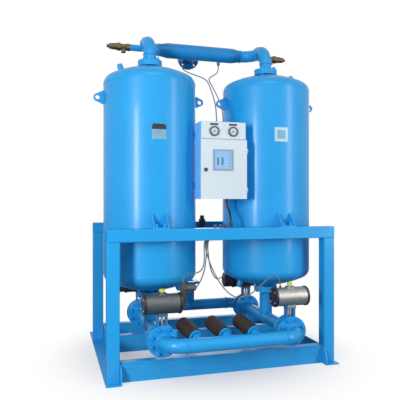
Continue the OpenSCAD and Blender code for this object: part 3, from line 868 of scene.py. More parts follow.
@dataclass
class Fasteners(Dresser):
    """Hexagon bolts, studs and nuts of the flanges and brackets."""

    hex_r: float = 0.0125
    hex_h: float = 0.0105
    hex_rim: Span = (0.00375, 0.0007)
    washer_r: float = 0.015625
    washer_h: float = 0.003
    washer_rim: Span = (0.001, -0.0004)
    thread_end: float = 0.006
    thread_taper: float = 0.92
    edge: float = 0.0007
    stud_r: float = 0.0078
    stud_rim: Span = (0.001, 0.0)
    neck_grip: float = 0.04
    neck_circle: float = 0.134
    neck_studs: int = 4
    neck_low: tuple[float, ...] = (2.08595, 0.45605)
    valve_grip: float = 0.086
    valve_circle: float = 0.16
    valve_studs: int = 8
    bracket_y: tuple[float, ...] = (TOWER_Y - 0.38, TOWER_Y + 0.682)
    bracket_top: float = 0.966
    bracket_half: float = 0.026

    def nut(self, name: str) -> bpy.types.Object:
        """Makes a washer and nut that stand on z = 0, with the thread's end on top.

        Args:
            name: the nut's name.

        Returns:
            The nut.
        """
        washer = Bench.rod(f"{name}_washer", self.washer_r, self.washer_h, sides=24)
        Bench.inset(washer, up, self.washer_rim)
        hexagon = Bench.rod(f"{name}_hex", self.hex_r, self.hex_h, sides=6, low=self.washer_h)
        Bench.inset(hexagon, up, self.hex_rim)
        Bench.raise_top(hexagon, tip, self.thread_end, self.thread_taper)
        nut = Bench.joined([washer, hexagon], name)
        Bench.soften(nut, self.edge, segments=1)
        return nut

    def stud(self, name: str, grip: float) -> bpy.types.Object:
        """Makes a stud along Z with a nut at each end.

        Args:
            name: the stud's name.
            grip: thickness that it holds, from z = 0 upward.

        Returns:
            The stud with its nuts.
        """
        nut = self.nut(f"{name}_nut")
        nuts = Bench.copies(nut, [Matrix.Translation((0, 0, grip)), turned("X", 180)], f"{name}_nuts")
        bpy.data.objects.remove(nut)
        shank = Bench.rod(f"{name}_shank", self.stud_r, grip, sides=12)
        Bench.inset(shank, up, self.stud_rim)
        return Bench.joined([nuts, shank], name)

    @staticmethod
    def circle(diameter: float, count: int, base: Matrix) -> list[Matrix]:
        """Places bolts on a circle about Z, half a pitch from X.

        Args:
            diameter: the bolt circle.
            count: number of bolts.
            base: place of the circle's middle.

        Returns:
            One matrix for each bolt.
        """
        places = []
        for i in range(count):
            spin = Matrix.Rotation(2 * math.pi * (i + 0.5) / count, 4, "Z")
            places.append(base @ spin @ Matrix.Translation((diameter / 2, 0, 0)))
        return places

    def build(self) -> None:
        """Fits every flange and bracket."""
        necks: dict[str, list[Matrix]] = {}
        for side in Side:
            places = necks.setdefault(f"neck_studs_{side.label}", [])
            for low in self.neck_low:
                seat = Matrix.Translation((side.x, TOWER_Y, low))
                places += self.circle(self.neck_circle, self.neck_studs, seat)
        self.fit(self.stud("neck_stud", self.neck_grip), necks, "blue_paint", Slot.BLUE_PAINT)
        valves: dict[str, list[Matrix]] = {}
        for corner in Corner:
            seat = turned("X", -90, corner.centre - Vector((0, self.valve_grip / 2, 0)))
            valves[f"valve_studs_{corner.label}"] = self.circle(self.valve_circle, self.valve_studs, seat)
        self.fit(self.stud("valve_stud", self.valve_grip), valves, "blue_paint", Slot.BLUE_PAINT)
        places = [
            Matrix.Translation((side.x + way * self.bracket_half, y, self.bracket_top))
            for side in Side
            for y in self.bracket_y
            for way in (-1, 1)
        ]
        self.fit(self.nut("foot_bolt"), {"bracket_bolts": places}, "blue_paint", Slot.BLUE_PAINT)


@dataclass
class Welds(Dresser):
    """Rippled beads where plates and pipes were joined."""

    seam_bead: float = 0.0034
    seam_r: float = SHELL_R - 0.0026
    seam_slices: int = 240
    pipe_bead: float = 0.0038
    pipe_r: float = 0.0455
    pipe_slices: int = 72
    sides: int = 8
    ripple_every: int = 3
    ripple_share: float = 0.16
    neck_z: tuple[float, ...] = (2.0765, 2.12695, 2.174, 0.5055, 0.45505)
    riser_y: tuple[float, ...] = (TOWER_Y + 0.114, TOWER_Y + 0.134)
    tee_out: tuple[float, ...] = (0.365, 0.453, 0.472)
    elbow_x: float = 0.331
    outlet_x: float = -0.05
    outlet_y: float = TOWER_Y + 0.416
    inlet_z: float = 0.438

    def bead(self, name: str, radius: float, thick: float, slices: int) -> bpy.types.Object:
        """Makes a ring about Z whose every few slices are swollen.

        Args:
            name: the bead's name.
            radius: radius of its middle line.
            thick: radius of its section.
            slices: slices round the ring.

        Returns:
            The bead.
        """
        ring = Bench.ring(name, radius, thick, slices, self.sides)
        step = 2 * math.pi / slices

        def swollen(centre: Vector, _normal: Vector) -> bool:
            """Faces of every few slices."""
            return math.floor((math.atan2(centre.y, centre.x) + math.pi) / step) % self.ripple_every == 0

        Bench.pick(ring, swollen)
        bpy.ops.transform.shrink_fatten(value=thick * self.ripple_share)
        Bench.choose(ring)
        bpy.ops.object.shade_smooth()
        return ring

    def pipe_places(self) -> list[Matrix]:
        """Lists the beads of the pipes: necks, risers, tees and elbows of each tower, outlet and inlet.

        Returns:
            One matrix for each bead.
        """
        places = []
        for side in Side:
            elbow = side.value * self.elbow_x
            places += [Matrix.Translation((side.x, TOWER_Y, z)) for z in self.neck_z]
            places += [turned("X", 90, (side.x, y, MANIFOLD_Z)) for y in self.riser_y]
            places.append(turned("Y", 90, (elbow, MANIFOLD_Y, MANIFOLD_Z)))
            for way in (-1, 1):
                places += [turned("X", 90, (side.x, TOWER_Y + way * out, LOWER_Z)) for out in self.tee_out]
                places.append(turned("Y", 90, (elbow, TOWER_Y + way * HEADER_OUT, LOWER_Z)))
        places.append(turned("X", 90, (self.outlet_x, self.outlet_y, MANIFOLD_Z)))
        places.append(Matrix.Translation((0, TOWER_Y + HEADER_OUT, self.inlet_z)))
        return places

    def build(self) -> None:
        """Lays every bead."""
        seams: dict[str, list[Matrix]] = {}
        for side in Side:
            places = [Matrix.Translation((side.x, TOWER_Y, z)) for z in (SHELL_Z, SHELL_TOP)]
            seams[f"shell_seams_{side.label}"] = places
        shell = self.bead("shell_seam", self.seam_r, self.seam_bead, self.seam_slices)
        self.fit(shell, seams, "blue_paint", Slot.BLUE_PAINT)
        pipe = self.bead("pipe_bead", self.pipe_r, self.pipe_bead, self.pipe_slices)
        self.fit(pipe, {"pipe_welds": self.pipe_places()}, "blue_paint", Slot.BLUE_PAINT)


@dataclass(frozen=True)
class PlateForm:
    """One tower's rating plate and the band on it."""

    side: Side
    shift: float
    rise: Span
    finish: str
    band_share: float
    band_rise: Span
    band_finish: str


@dataclass
class Plates(Dresser):
    """Bare rating plates on the towers' fronts, curved to the shell."""

    width: float = 0.097
    thick: float = 0.0012
    inner_r: float = SHELL_R + 0.0003
    edge: float = 0.0003
    slices: int = 240
    rivet_r: float = 0.0028
    rivet_h: float = 0.0024
    rivet_rim: Span = (0.001, 0.0006)
    rivet_in: float = 0.006
    rivet_out: float = 0.0016
    forms: tuple[PlateForm, ...] = (
        PlateForm(Side.LEFT, 0.0, (1.5375, 1.6385), "plate", 0.98, (1.6015, 1.6375), "dark_band"),
        PlateForm(Side.RIGHT, -0.021, (1.549, 1.649), "plate_pale", 0.62, (1.569, 1.629), "plate"),
    )

    def sheet(self, name: str, middle: float, radius: float, width: float, rise: Span) -> bpy.types.Object:
        """Cuts a sheet from a tube round the nearest tower's axis, at the tower's front.

        Args:
            name: the sheet's name.
            middle: place of its middle from left to right.
            radius: inner radius.
            width: its chord.
            rise: heights of its lower and upper edge.

        Returns:
            The finished sheet.
        """
        axis = math.copysign(TOWER_X, middle)
        low, high = rise
        Bench.clear()
        bpy.ops.mesh.primitive_cylinder_add(
            vertices=self.slices,
            radius=radius,
            depth=high - low,
            location=(axis, TOWER_Y, (low + high) / 2),
            end_fill_type="NOTHING",
        )
        sheet = Bench.started(name)
        for place, away in (
            ((middle - width / 2, 0, 0), (-1, 0, 0)),
            ((middle + width / 2, 0, 0), (1, 0, 0)),
            ((axis, TOWER_Y, 0), (0, 1, 0)),
        ):
            bpy.ops.object.mode_set(mode="EDIT")
            bpy.ops.mesh.select_all(action="SELECT")
            bpy.ops.mesh.bisect(plane_co=place, plane_no=away, clear_outer=True)
            bpy.ops.object.mode_set(mode="OBJECT")
        wall = sheet.modifiers.new("wall", "SOLIDIFY")
        wall.thickness = self.thick
        wall.offset = 1.0
        bpy.ops.object.modifier_apply(modifier=wall.name)
        Bench.soften(sheet, self.edge, segments=1)
        return sheet

    def rivet_places(self, form: PlateForm) -> list[Matrix]:
        """Lists the rivets in a plate's corners, square to the shell.

        Args:
            form: the plate.

        Returns:
            One matrix for each rivet.
        """
        places = []
        low, high = form.rise
        for way in (-1, 1):
            across = form.shift + way * (self.width / 2 - self.rivet_in)
            y = TOWER_Y - math.sqrt(SHELL_R**2 - across**2) - self.rivet_out
            lean = turned("Z", math.degrees(math.asin(across / SHELL_R))) @ turned("X", 90)
            for z in (low + self.rivet_in, high - self.rivet_in):
                places.append(Matrix.Translation((form.side.x + across, y, z)) @ lean)
        return places

    def build(self) -> None:
        """Makes both plates, their bands and rivets."""
        places = []
        for form in self.forms:
            tag, middle = form.side.label, form.side.x + form.shift
            plate = self.sheet(f"rating_plate_{tag}", middle, self.inner_r, self.width, form.rise)
            self.done(plate, form.finish, Slot.GAUGE)
            radius, width = self.inner_r + self.thick, self.width * form.band_share
            band = self.sheet(f"plate_band_{tag}", middle, radius, width, form.band_rise)
            self.done(band, form.band_finish, Slot.DISPLAY)
            places += self.rivet_places(form)
        rivet = Bench.rod("rivet", self.rivet_r, self.rivet_h, sides=16)
        Bench.inset(rivet, up, self.rivet_rim)
        self.fit(rivet, {"plate_rivets": places}, "zinc", Slot.BARE_STEEL)


@dataclass
class Gauges(Dresser):
    """Dial faces, scales, covers and rings of the two pressure gauges."""

    height: float = 1.605
    front: float = BOX_FRONT - 0.010
    face_r: float = 0.0296
    face_h: float = 0.0008
    face_rim: Span = (0.003, -0.0002)
    face_in: float = 0.0059
    tick: Point = (0.0007, 0.0048, 0.0003)
    tick_rim: Span = (0.0001, 0.0)
    tick_in: float = 0.0092
    tick_up: float = 0.0006
    ticks: int = 17
    sweep: float = 270.0
    long_every: int = 4
    long_wide: float = 1.4
    short_share: float = 0.55
    glass_rim: Span = (0.0012, 0.0003)
    glass_in: float = 0.0030
    ring_w: float = 0.0056
    ring_flat: float = 0.4
    ring_in: float = 0.0008

    def seat(self, side: Side, depth: float) -> Matrix:
        """Place on a gauge's axis, some way in from its front."""
        return to_front((side.value * GAUGE_X, self.front + depth, self.height))

    def tick_places(self, side: Side) -> list[Matrix]:
        """Lists the marks of a scale, with every few of them long.

        Args:
            side: the gauge.

        Returns:
            One matrix for each mark.
        """
        places = []
        for i in range(self.ticks):
            turn = turned("Z", self.sweep / 2 - self.sweep / (self.ticks - 1) * i)
            out = Matrix.Translation((0, self.face_r - self.tick_in, self.tick_up))
            long = i % self.long_every == 0
            size = (self.long_wide, 1.0, 1.0, 1.0) if long else (1.0, self.short_share, 1.0, 1.0)
            places.append(self.seat(side, self.face_in) @ turn @ out @ Matrix.Diagonal(size))
        return places

    def disc(self, name: str, rim: Span) -> bpy.types.Object:
        """Makes a thin round sheet of the dial's size.

        Args:
            name: the sheet's name.
            rim: the rim's width, and how far the field inside it is raised.

        Returns:
            The sheet.
        """
        disc = Bench.rod(name, self.face_r, self.face_h, sides=48)
        Bench.inset(disc, up, rim)
        return disc

    def ring(self) -> bpy.types.Object:
        """Makes the flat ring round a dial.

        Returns:
            The ring.
        """
        ring = Bench.ring("ring", self.face_r - self.ring_w / 2, self.ring_w / 2, turns=64, sides=12)
        Bench.pick(ring, lambda _centre, _normal: True)
        bpy.ops.transform.resize(value=(1, 1, self.ring_flat))
        Bench.choose(ring)
        bpy.ops.object.shade_smooth()
        return ring

    def build(self) -> None:
        """Makes both dials."""
        for side in Side:
            tag = side.label
            face = {f"dial_face_{tag}": [self.seat(side, self.face_in)]}
            self.fit(self.disc("face", self.face_rim), face, "dial", Slot.GAUGE)
            tick = Bench.block("tick", self.tick)
            Bench.inset(tick, up, self.tick_rim)
            self.fit(tick, {f"dial_scale_{tag}": self.tick_places(side)}, "pointer", Slot.POINTER)
            glass = {f"dial_glass_{tag}": [self.seat(side, self.glass_in)]}
            self.fit(self.disc("cover", self.glass_rim), glass, "glass", Slot.GAUGE)
            ring = {f"dial_ring_{tag}": [self.seat(side, self.ring_in)]}
            self.fit(self.ring(), ring, "bezel", Slot.GAUGE)


@dataclass
class BoxTrim(Dresser):
    """Screen, keys, bare captions and screws of the control box."""

    display_x: float = -0.008
    display_z: float = 1.410
    screen: PadForm = PadForm((0.119, 0.119, 0.0012), (0.004, -0.0003), 0.0006, 2)
    screen_y: float = BOX_FRONT - 0.0172
    key: PadForm = PadForm((0.012, 0.05, 0.0016), (0.0016, 0.0005), 0.0005, 2)
    key_y: float = BOX_FRONT - 0.018
    key_x: tuple[float, ...] = (-0.038, -0.006)
    key_down: float = 0.008
    button: PadForm = PadForm((0.013, 0.009, 0.0012), (0.0014, 0.0004), 0.0004)
    button_x: float = 0.045
    button_pitch: float = 0.021
    button_rows: tuple[int, ...] = (-2, -1, 0, 1, 2)
    caption: PadForm = PadForm((0.058, 0.013, 0.0008), (0.0008, 0.0002), 0.0003)
    caption_z: float = 1.6515
    seam: PadForm = PadForm((0.312, 0.0036, 0.0012), (0.0006, 0.0002), 0.0003)
    seam_z: float = 1.5525
    panel_y: float = BOX_FRONT + 0.0001
    screw_r: float = 0.0042
    screw_h: float = 0.0022
    screw_rim: Span = (0.0014, 0.0005)
    screw_socket: Span = (0.0008, -0.0009)
    screw_x: float = 0.148
    screw_z: tuple[float, ...] = (1.56, 1.657)

    def door_parts(self) -> None:
        """Makes the screen with its keys and buttons, which swing with the door."""
        x, z = self.display_x, self.display_z
        places = [to_front((x, self.screen_y, z))]
        self.fit(self.screen.make("screen"), {"display_screen": places}, "screen", Slot.DISPLAY, Body.DOOR)
        places = [to_front((x + dx, self.key_y, z - self.key_down)) for dx in self.key_x]
        self.fit(self.key.make("key"), {"display_keys": places}, "key", Slot.POINTER, Body.DOOR)
        places = [
            to_front((x + self.button_x, self.key_y, z + row * self.button_pitch)) for row in self.button_rows
        ]
        self.fit(self.button.make("button"), {"display_buttons": places}, "display", Slot.DISPLAY, Body.DOOR)

    def panel_parts(self) -> None:
        """Makes the bare captions over the gauges, the panel's seam and its screws."""
        places = [to_front((side.value * GAUGE_X, self.panel_y, self.caption_z)) for side in Side]
        self.fit(self.caption.make("caption"), {"gauge_captions": places}, "dark_band", Slot.POINTER)
        places = [to_front((0, self.panel_y, self.seam_z))]
        self.fit(self.seam.make("seam"), {"panel_seam": places}, "seal", Slot.PILOT)
        screw = Bench.rod("screw", self.screw_r, self.screw_h, sides=20)
        Bench.inset(screw, up, self.screw_rim)
        Bench.inset(screw, tip, self.screw_socket)
        places = [to_front((way * self.screw_x, BOX_FRONT, z)) for way in (-1, 1) for z in self.screw_z]
        self.fit(screw, {"panel_screws": places}, "zinc", Slot.BARE_STEEL)

    def build(self) -> None:
        """Makes the door's and the panel's small parts."""
        self.door_parts()
        self.panel_parts()


@dataclass
class ActuatorTrim(Dresser):
    """Cap bolts, the rear actuators' spring cans and the solenoid valve of the left front one."""

    axis_z: float = 0.483
    cap_end: float = 0.123
    bolt_r: float = 0.0052
    bolt_h: float = 0.005
    bolt_rim: Span = (0.0016, 0.0004)
    bolt_socket: Span = (0.0008, -0.0028)
    bolt_edge: float = 0.0004
    bolts: int = 4
    front_circle_r: float = 0.049
    rear_circle_r: float = 0.034
    can_r: float = 0.059
    can_len: float = 0.073
    can_rim: Span = (0.016, 0.004)
    can_edge: float = 0.0035
    solenoid: Point = (0.032, 0.048, 0.15)
    solenoid_front: Span = (0.006, -0.0015)
    solenoid_top: Span = (0.004, 0.002)
    solenoid_edge: float = 0.0022
    coil_r: float = 0.022
    coil_len: float = 0.064
    coil_rim: Span = (0.010, 0.0015)
    coil_nut: float = 0.008
    coil_taper: float = 0.8
    coil_edge: float = 0.0016
    coil_down: float = 0.028

    def ends(self, corner: Corner) -> list[Matrix]:
        """Places at an actuator's middle that look out of its two ends."""
        middle = (corner.centre.x, corner.centre.y, self.axis_z)
        return [turned("Y", way * 90, middle) for way in (-1, 1)]

    def add_cans(self, corner: Corner) -> None:
        """Makes the spring cans on both ends of an actuator.

        Args:
            corner: the actuator's valve.
        """
        can = Bench.rod("can", self.can_r, self.can_len - self.can_rim[1], sides=64)
        Bench.inset(can, up, self.can_rim)
        Bench.soften(can, self.can_edge, segments=3)
        places = [end @ Matrix.Translation((0, 0, self.cap_end)) for end in self.ends(corner)]
        self.fit(can, {f"spring_cans_{corner.label}": places}, "actuator_dark", Slot.ACTUATOR)

    def add_bolts(self, corner: Corner, radius: float, reach: float) -> None:
        """Makes the socket head bolts in both ends of an actuator.

        Args:
            corner: the actuator's valve.
            radius: radius of the bolt circle.
            reach: the end's distance from the actuator's middle.
        """
        bolt = Bench.rod("bolt", self.bolt_r, self.bolt_h, sides=16)
        Bench.inset(bolt, up, self.bolt_rim)
        Bench.inset(bolt, tip, self.bolt_socket)
        Bench.soften(bolt, self.bolt_edge, segments=1)
        places = [
            end @ turned("Z", 360 / self.bolts * (i + 0.5)) @ Matrix.Translation((radius, 0, reach))
            for end in self.ends(corner)
            for i in range(self.bolts)
        ]
        self.fit(bolt, {f"cap_bolts_{corner.label}": places}, "zinc", Slot.BARE_STEEL)

    def add_solenoid(self, corner: Corner) -> None:
        """Makes a solenoid valve on the inner end of an actuator.

        Args:
            corner: the actuator's valve.
        """
        wide, _, high = self.solenoid
        inward = -corner.value[0]
        body = Bench.block("body", self.solenoid)
        Bench.inset(body, forward, self.solenoid_front)
        Bench.inset(body, up, self.solenoid_top)
        Bench.soften(body, self.solenoid_edge)
        coil = Bench.rod("coil", self.coil_r, self.coil_len, sides=40)
        Bench.inset(coil, up, self.coil_rim)
        Bench.raise_top(coil, tip, self.coil_nut, self.coil_taper)
        Bench.soften(coil, self.coil_edge)
        outlet = turned("Y", 90 * inward, (inward * wide / 2, 0, high - self.coil_down))
        side = Bench.copies(coil, [outlet], "side")
        bpy.data.objects.remove(coil)
        valve = Bench.joined([body, side], "valve")
        place = Matrix.Translation((-inward * SOLENOID_X, corner.centre.y, SOLENOID_TOP - high))
        self.fit(valve, {f"solenoid_{corner.label}": [place]}, "pilot", Slot.PILOT)

    def build(self) -> None:
        """Makes the trim of all four actuators."""
        for corner in Corner:
            if corner.value[1] > 0:
                self.add_cans(corner)
                self.add_bolts(corner, self.rear_circle_r, self.cap_end + self.can_len)
            else:
                self.add_bolts(corner, self.front_circle_r, self.cap_end)
        self.add_solenoid(Corner.FRONT_LEFT)


@dataclass
class Mufflers(Dresser):
    """Painted collars on the mufflers' necks."""

    places_x: tuple[float, ...] = (-0.22, -0.025, 0.17)
    neck: float = 0.09045
    lean: float = 16.0
    collar_r: float = 0.045
    collar_h: float = 0.0155
    collar_rim: Span = (0.006, -0.003)
    edge: float = 0.0025

    def build(self) -> None:
        """Makes the three collars."""
        collar = Bench.rod("collar", self.collar_r, self.collar_h, sides=48)
        Bench.inset(collar, down, self.collar_rim)
        Bench.soften(collar, self.edge, segments=3)
        lean = turned("Z", self.lean) @ turned("X", self.lean) @ turned("X", -90, (0, self.neck, 0))
        places = [Matrix.Translation((x, TOWER_Y - HEADER_OUT, LOWER_Z)) @ lean for x in self.places_x]
        self.fit(collar, {"muffler_collars": places}, "blue_paint", Slot.BLUE_PAINT)


@dataclass
class AirFilter(Dresser):
    """Small filter regulator for the pilot air, on the front of the rear rail."""

    x: float = 0.12
    low: float = 0.885
    bowl_r: float = 0.024
    bowl_h: float = 0.055
    bowl_foot: Span = (0.009, 0.006)
    flare_h: float = 0.004
    flare: float = 1.2
    body_h: float = 0.034
    shoulder: Span = (0.010, 0.0)
    knob_h: float = 0.032
    knob_taper: float = 0.94
    edge: float = 0.0022
    bracket: PadForm = PadForm((0.05, 0.034, 0.004), (0.004, 0.0006), 0.0008)
    bracket_up: float = 0.05

    def build(self) -> None:
        """Makes bowl, body and knob in one piece, and its bracket."""
        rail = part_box("rail_rear")[0][1]
        out = self.bracket.size[1]
        bowl = Bench.rod("bowl", self.bowl_r, self.bowl_h, sides=40)
        Bench.inset(bowl, down, self.bowl_foot)
        Bench.raise_top(bowl, up, self.flare_h, self.flare)
        Bench.raise_top(bowl, above(self.bowl_h + self.flare_h / 2), self.body_h)
        Bench.inset(bowl, above(self.bowl_h + self.flare_h + self.body_h / 2), self.shoulder)
        Bench.raise_top(bowl, tip, self.knob_h, self.knob_taper)
        Bench.soften(bowl, self.edge)
        place = Matrix.Translation((self.x, rail - out, self.low))
        self.fit(bowl, {"air_filter": [place]}, "pilot", Slot.PILOT)
        place = Matrix.Translation((self.x, rail - out / 2, self.low + self.bracket_up))
        self.fit(self.bracket.make("bracket"), {"filter_bracket": [place]}, "zinc", Slot.BARE_STEEL)


@dataclass(frozen=True)
class UnionForm:
    """A hexagon with a round neck, through which a hose leaves a port."""

    name: str
    radius: float
    height: float
    rim: Span
    neck: float
    edge: float
    taper: float = 0.86

    def make(self) -> bpy.types.Object:
        """Makes the union on z = 0.

        Returns:
            The union.
        """
        union = Bench.rod(self.name, self.radius, self.height, sides=6)
        Bench.inset(union, up, self.rim)
        Bench.raise_top(union, tip, self.neck, self.taper)
        Bench.soften(union, self.edge, segments=1)
        return union


@dataclass
class Hoses(Dresser):
    """Bent air lines and the cable, with the unions and glands at their ends."""

    line_r: float = 0.004
    cable_r: float = 0.007
    smooth_below: float = math.radians(40)
    tap_x: float = 0.15
    tap_z: float = 2.213
    box_x: float = 0.024
    box_y: float = TOWER_Y - 0.238
    box_top: float = 1.67
    port_pitch: float = 0.0375
    port_y: float = TOWER_Y - 0.307
    port_z: float = 0.89
    inlet_x: float = 0.375
    inlet_z: float = 0.545
    inlet_end: float = 0.5455
    solenoid_z: float = SOLENOID_TOP + 0.001
    lane_x: float = -0.118
    lane_pitch: float = 0.0085
    cable_x: float = 0.05625
    cable_y: float = TOWER_Y - 0.218
    cable_top: float = 1.148
    cable_low: float = 0.974
    union: UnionForm = UnionForm("union", 0.0082, 0.012, (0.002, 0.0004), 0.008, 0.0005)
    gland: UnionForm = UnionForm("gland", 0.0135, 0.01, (0.003, 0.0006), 0.012, 0.0006)

    def bent(self, name: str, points: Sequence[Point], radius: float) -> bpy.types.Object:
        """Makes a round hose along a smooth curve.

        Args:
            name: the hose's name.
            points: places that lead it.
            radius: outer radius.

        Returns:
            The hose as a mesh at the origin.
        """
        Bench.clear()
        bpy.ops.curve.primitive_nurbs_path_add(location=(0, 0, 0))
        path = bpy.context.active_object.data
        path.splines.clear()
        run = path.splines.new("NURBS")
        run.points.add(len(points) - 1)
        for knot, place in zip(run.points, points):
            knot.co = (*place, 1.0)
        run.use_endpoint_u = True
        run.order_u = 4
        path.resolution_u = 10
        path.bevel_depth = radius
        path.bevel_resolution = 3
        path.use_fill_caps = True
        bpy.ops.object.convert(target="MESH")
        hose = Bench.started(name)
        bpy.ops.object.shade_smooth_by_angle(angle=self.smooth_below)
        return hose

    def gauge_lines(self) -> list[bpy.types.Object]:
        """Makes two lines from the manifold's taps to the top of the box.

        Returns:
            The two lines.
        """
        made = []
        y = MANIFOLD_Y
        for side in Side:
            tap = side.value * self.tap_x
            x = side.value * self.box_x
            points = [
                (tap, y, self.tap_z),
                (tap, y, 2.165),
                (tap * 0.9, y - 0.02, 2.13),
                (x * 0.4, y - 0.16, 2.06),
                (x * 0.3, TOWER_Y, 2.0),
                (x * 0.7, TOWER_Y - 0.16, 1.86),
                (x, self.box_y, 1.76),
                (x, self.box_y, self.box_top),
            ]
            made.append(self.bent(f"gauge_line_{side.label}", points, self.line_r))
        return made

    def pilot_start(self, port: int) -> list[Point]:
        """Leads a pilot line from its port, behind the rail and into the bundle.

        Args:
            port: number of the port, from the left.

        Returns:
            Places that lead the line.
        """
        x, y = self.port_x(port), self.port_y
        lane = self.lane_x + self.lane_pitch * port
        return [
            (x, y, self.port_z),
            (x, y, 0.880),
            (x, y + 0.03, 0.878),
            (x - 0.01, y + 0.05, 0.878),
            (lane + 0.02, y + 0.055, 0.876),
            (lane, y + 0.055, 0.86),
            (lane, y + 0.055, 0.79),
        ]

    def pilot_ends(self) -> dict[Corner, list[Point]]:
        """Leads the pilot lines from the bundle to their actuators.

        Returns:
            Places that lead each line, by its valve.
        """
        front, rear = TOWER_Y - VALVE_Y, TOWER_Y + VALVE_Y
        return {
            Corner.FRONT_LEFT: [
                (-0.135, front + 0.09, 0.70),
                (-0.19, front + 0.03, 0.66),
                (-0.28, front, 0.665),
                (-SOLENOID_X, front, 0.65),
                (-SOLENOID_X, front, SOLENOID_TOP),
            ],
            Corner.FRONT_RIGHT: [
                (-0.07, front + 0.11, 0.66),
                (0.0, front + 0.11, 0.54),
                (0.09, front + 0.09, 0.46),
                (0.20, front + 0.05, 0.50),
                (0.30, front, 0.64),
                (self.inlet_x, front, 0.64),
                (self.inlet_x, front, self.inlet_end),
            ],
            Corner.REAR_LEFT: [
                (-0.115, front + 0.14, 0.66),
                (-0.14, TOWER_Y - 0.16, 0.52),
                (-0.19, TOWER_Y, 0.45),
                (-0.23, TOWER_Y + 0.2, 0.50),
                (-0.30, rear, 0.62),
                (-self.inlet_x, rear, 0.64),
                (-self.inlet_x, rear, self.inlet_end),
            ],
            Corner.REAR_RIGHT: [
                (-0.07, front + 0.17, 0.66),
                (0.02, TOWER_Y - 0.06, 0.58),
                (0.12, TOWER_Y + 0.18, 0.52),
                (0.22, rear - 0.1, 0.53),
                (0.31, rear - 0.03, 0.58),
                (0.36, rear, 0.63),
                (self.inlet_x, rear, 0.61),
                (self.inlet_x, rear, self.inlet_end),
            ],
        }

    def port_x(self, port: int) -> float:
        """Place of one of the pilot block's four ports."""
        return (port - (len(Corner) - 1) / 2) * self.port_pitch

    def pilot_lines(self) -> list[bpy.types.Object]:
        """Makes four lines that leave the pilot block in a bundle and part below the rail.

        Returns:
            The four lines.
        """
        made = []
        for port, (corner, end) in enumerate(self.pilot_ends().items()):
            points = self.pilot_start(port) + end
            made.append(self.bent(f"pilot_line_{corner.label}", points, self.line_r))
        return made

    def cable_run(self) -> bpy.types.Object:
        """Makes the cable from the foot of the box to the pilot block.

        Returns:
            The cable.
        """
        x, y = self.cable_x, self.cable_y
        points = [
            (x, y, self.cable_top),
            (x, y, 1.105),
            (x + 0.012, y - 0.015, 1.075),
            (x + 0.004, self.port_y + 0.03, 1.04),
            (x, self.port_y, 1.015),
            (x, self.port_y, self.cable_low),
        ]
        return self.bent("cable_run", points, self.cable_r)

    def union_places(self) -> list[Matrix]:
        """Lists the unions at the lines' ends.

        Returns:
            One matrix for each union.
        """
        places = []
        for side in Side:
            places.append(turned("X", 180, (side.value * self.tap_x, MANIFOLD_Y, self.tap_z)))
            places.append(Matrix.Translation((side.value * self.box_x, self.box_y, self.box_top)))
        for port, corner in enumerate(Corner):
            places.append(turned("X", 180, (self.port_x(port), self.port_y, self.port_z)))
            end = (corner.value[0] * self.inlet_x, corner.centre.y, self.inlet_z)
            if corner is Corner.FRONT_LEFT:
                end = (-SOLENOID_X, corner.centre.y, self.solenoid_z)
            places.append(Matrix.Translation(end))
        return places

    def build(self) -> None:
        """Makes hoses, cable, unions and glands."""
        lines = Bench.joined(self.gauge_lines() + self.pilot_lines(), "air_hoses")
        self.done(lines, "line", Slot.LINE)
        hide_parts("air_lines")
        cable = self.cable_run()
        self.done(cable, "cable", Slot.CABLE)
        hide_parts("control_cable")
        self.fit(self.union.make(), {"line_unions": self.union_places()}, "brass", Slot.BRASS)
        places = [
            turned("X", 180, (self.cable_x, self.cable_y, self.cable_top)),
            Matrix.Translation((self.cable_x, self.port_y, self.cable_low)),
        ]
        self.fit(self.gland.make(), {"cable_glands": places}, "pilot", Slot.PILOT)


@dataclass
class Frame(Dresser):
    """Finishes of the solids that keep their own shape."""

    nodes: dict[str, bpy.types.Object]
    record: dict[str, Any]
    special: dict[str, str] = field(
        default_factory=lambda: {
            # The left front actuator gets the darker copy of the actuator finish as a painted dark
            # reflection.
            "actuator_front_left": "actuator_painted_shade",
            "actuator_rear_left": "actuator_dark",
            "actuator_rear_right": "actuator_dark",
            "gauges": "bezel",
            "control_box": "box_side",
            "port_plugs": "blue_paint",
            # The outlet manifold and its flange get the darker copy of the blue paint as painted shade.
            "outlet_manifold": "blue_painted_shade",
        }
    )

    def build(self) -> None:
        """Paints every solid by its slot in the record, apart from the special ones."""
        for part in self.record["subparts"]:
            name = part["node"]
            self.shop.paint(self.nodes[name], self.special.get(name, part["material_slot"]))


@dataclass(frozen=True)
class SoftBox:
    """A soft lamp that faces the dryer's middle, by degrees from the front, positive to the right."""

    name: str
    azimuth: float
    distance: float
    height: float
    size: Span
    power: float
    aim_z: float = 1.1

    def hang(self) -> None:
        """Adds the lamp."""
        data = bpy.data.lights.new(self.name, "AREA")
        data.shape = "RECTANGLE"
        data.size, data.size_y = self.size
        data.energy = self.power
        lamp = bpy.data.objects.new(self.name, data)
        turn = math.radians(self.azimuth)
        x, y = self.distance * math.sin(turn), TOWER_Y - self.distance * math.cos(turn)
        lamp.location = (x, y, self.height)
        aim = Vector((0, TOWER_Y, self.aim_z)) - lamp.location
        lamp.rotation_euler = aim.to_track_quat("-Z", "Y").to_euler()
        bpy.context.scene.collection.objects.link(lamp)


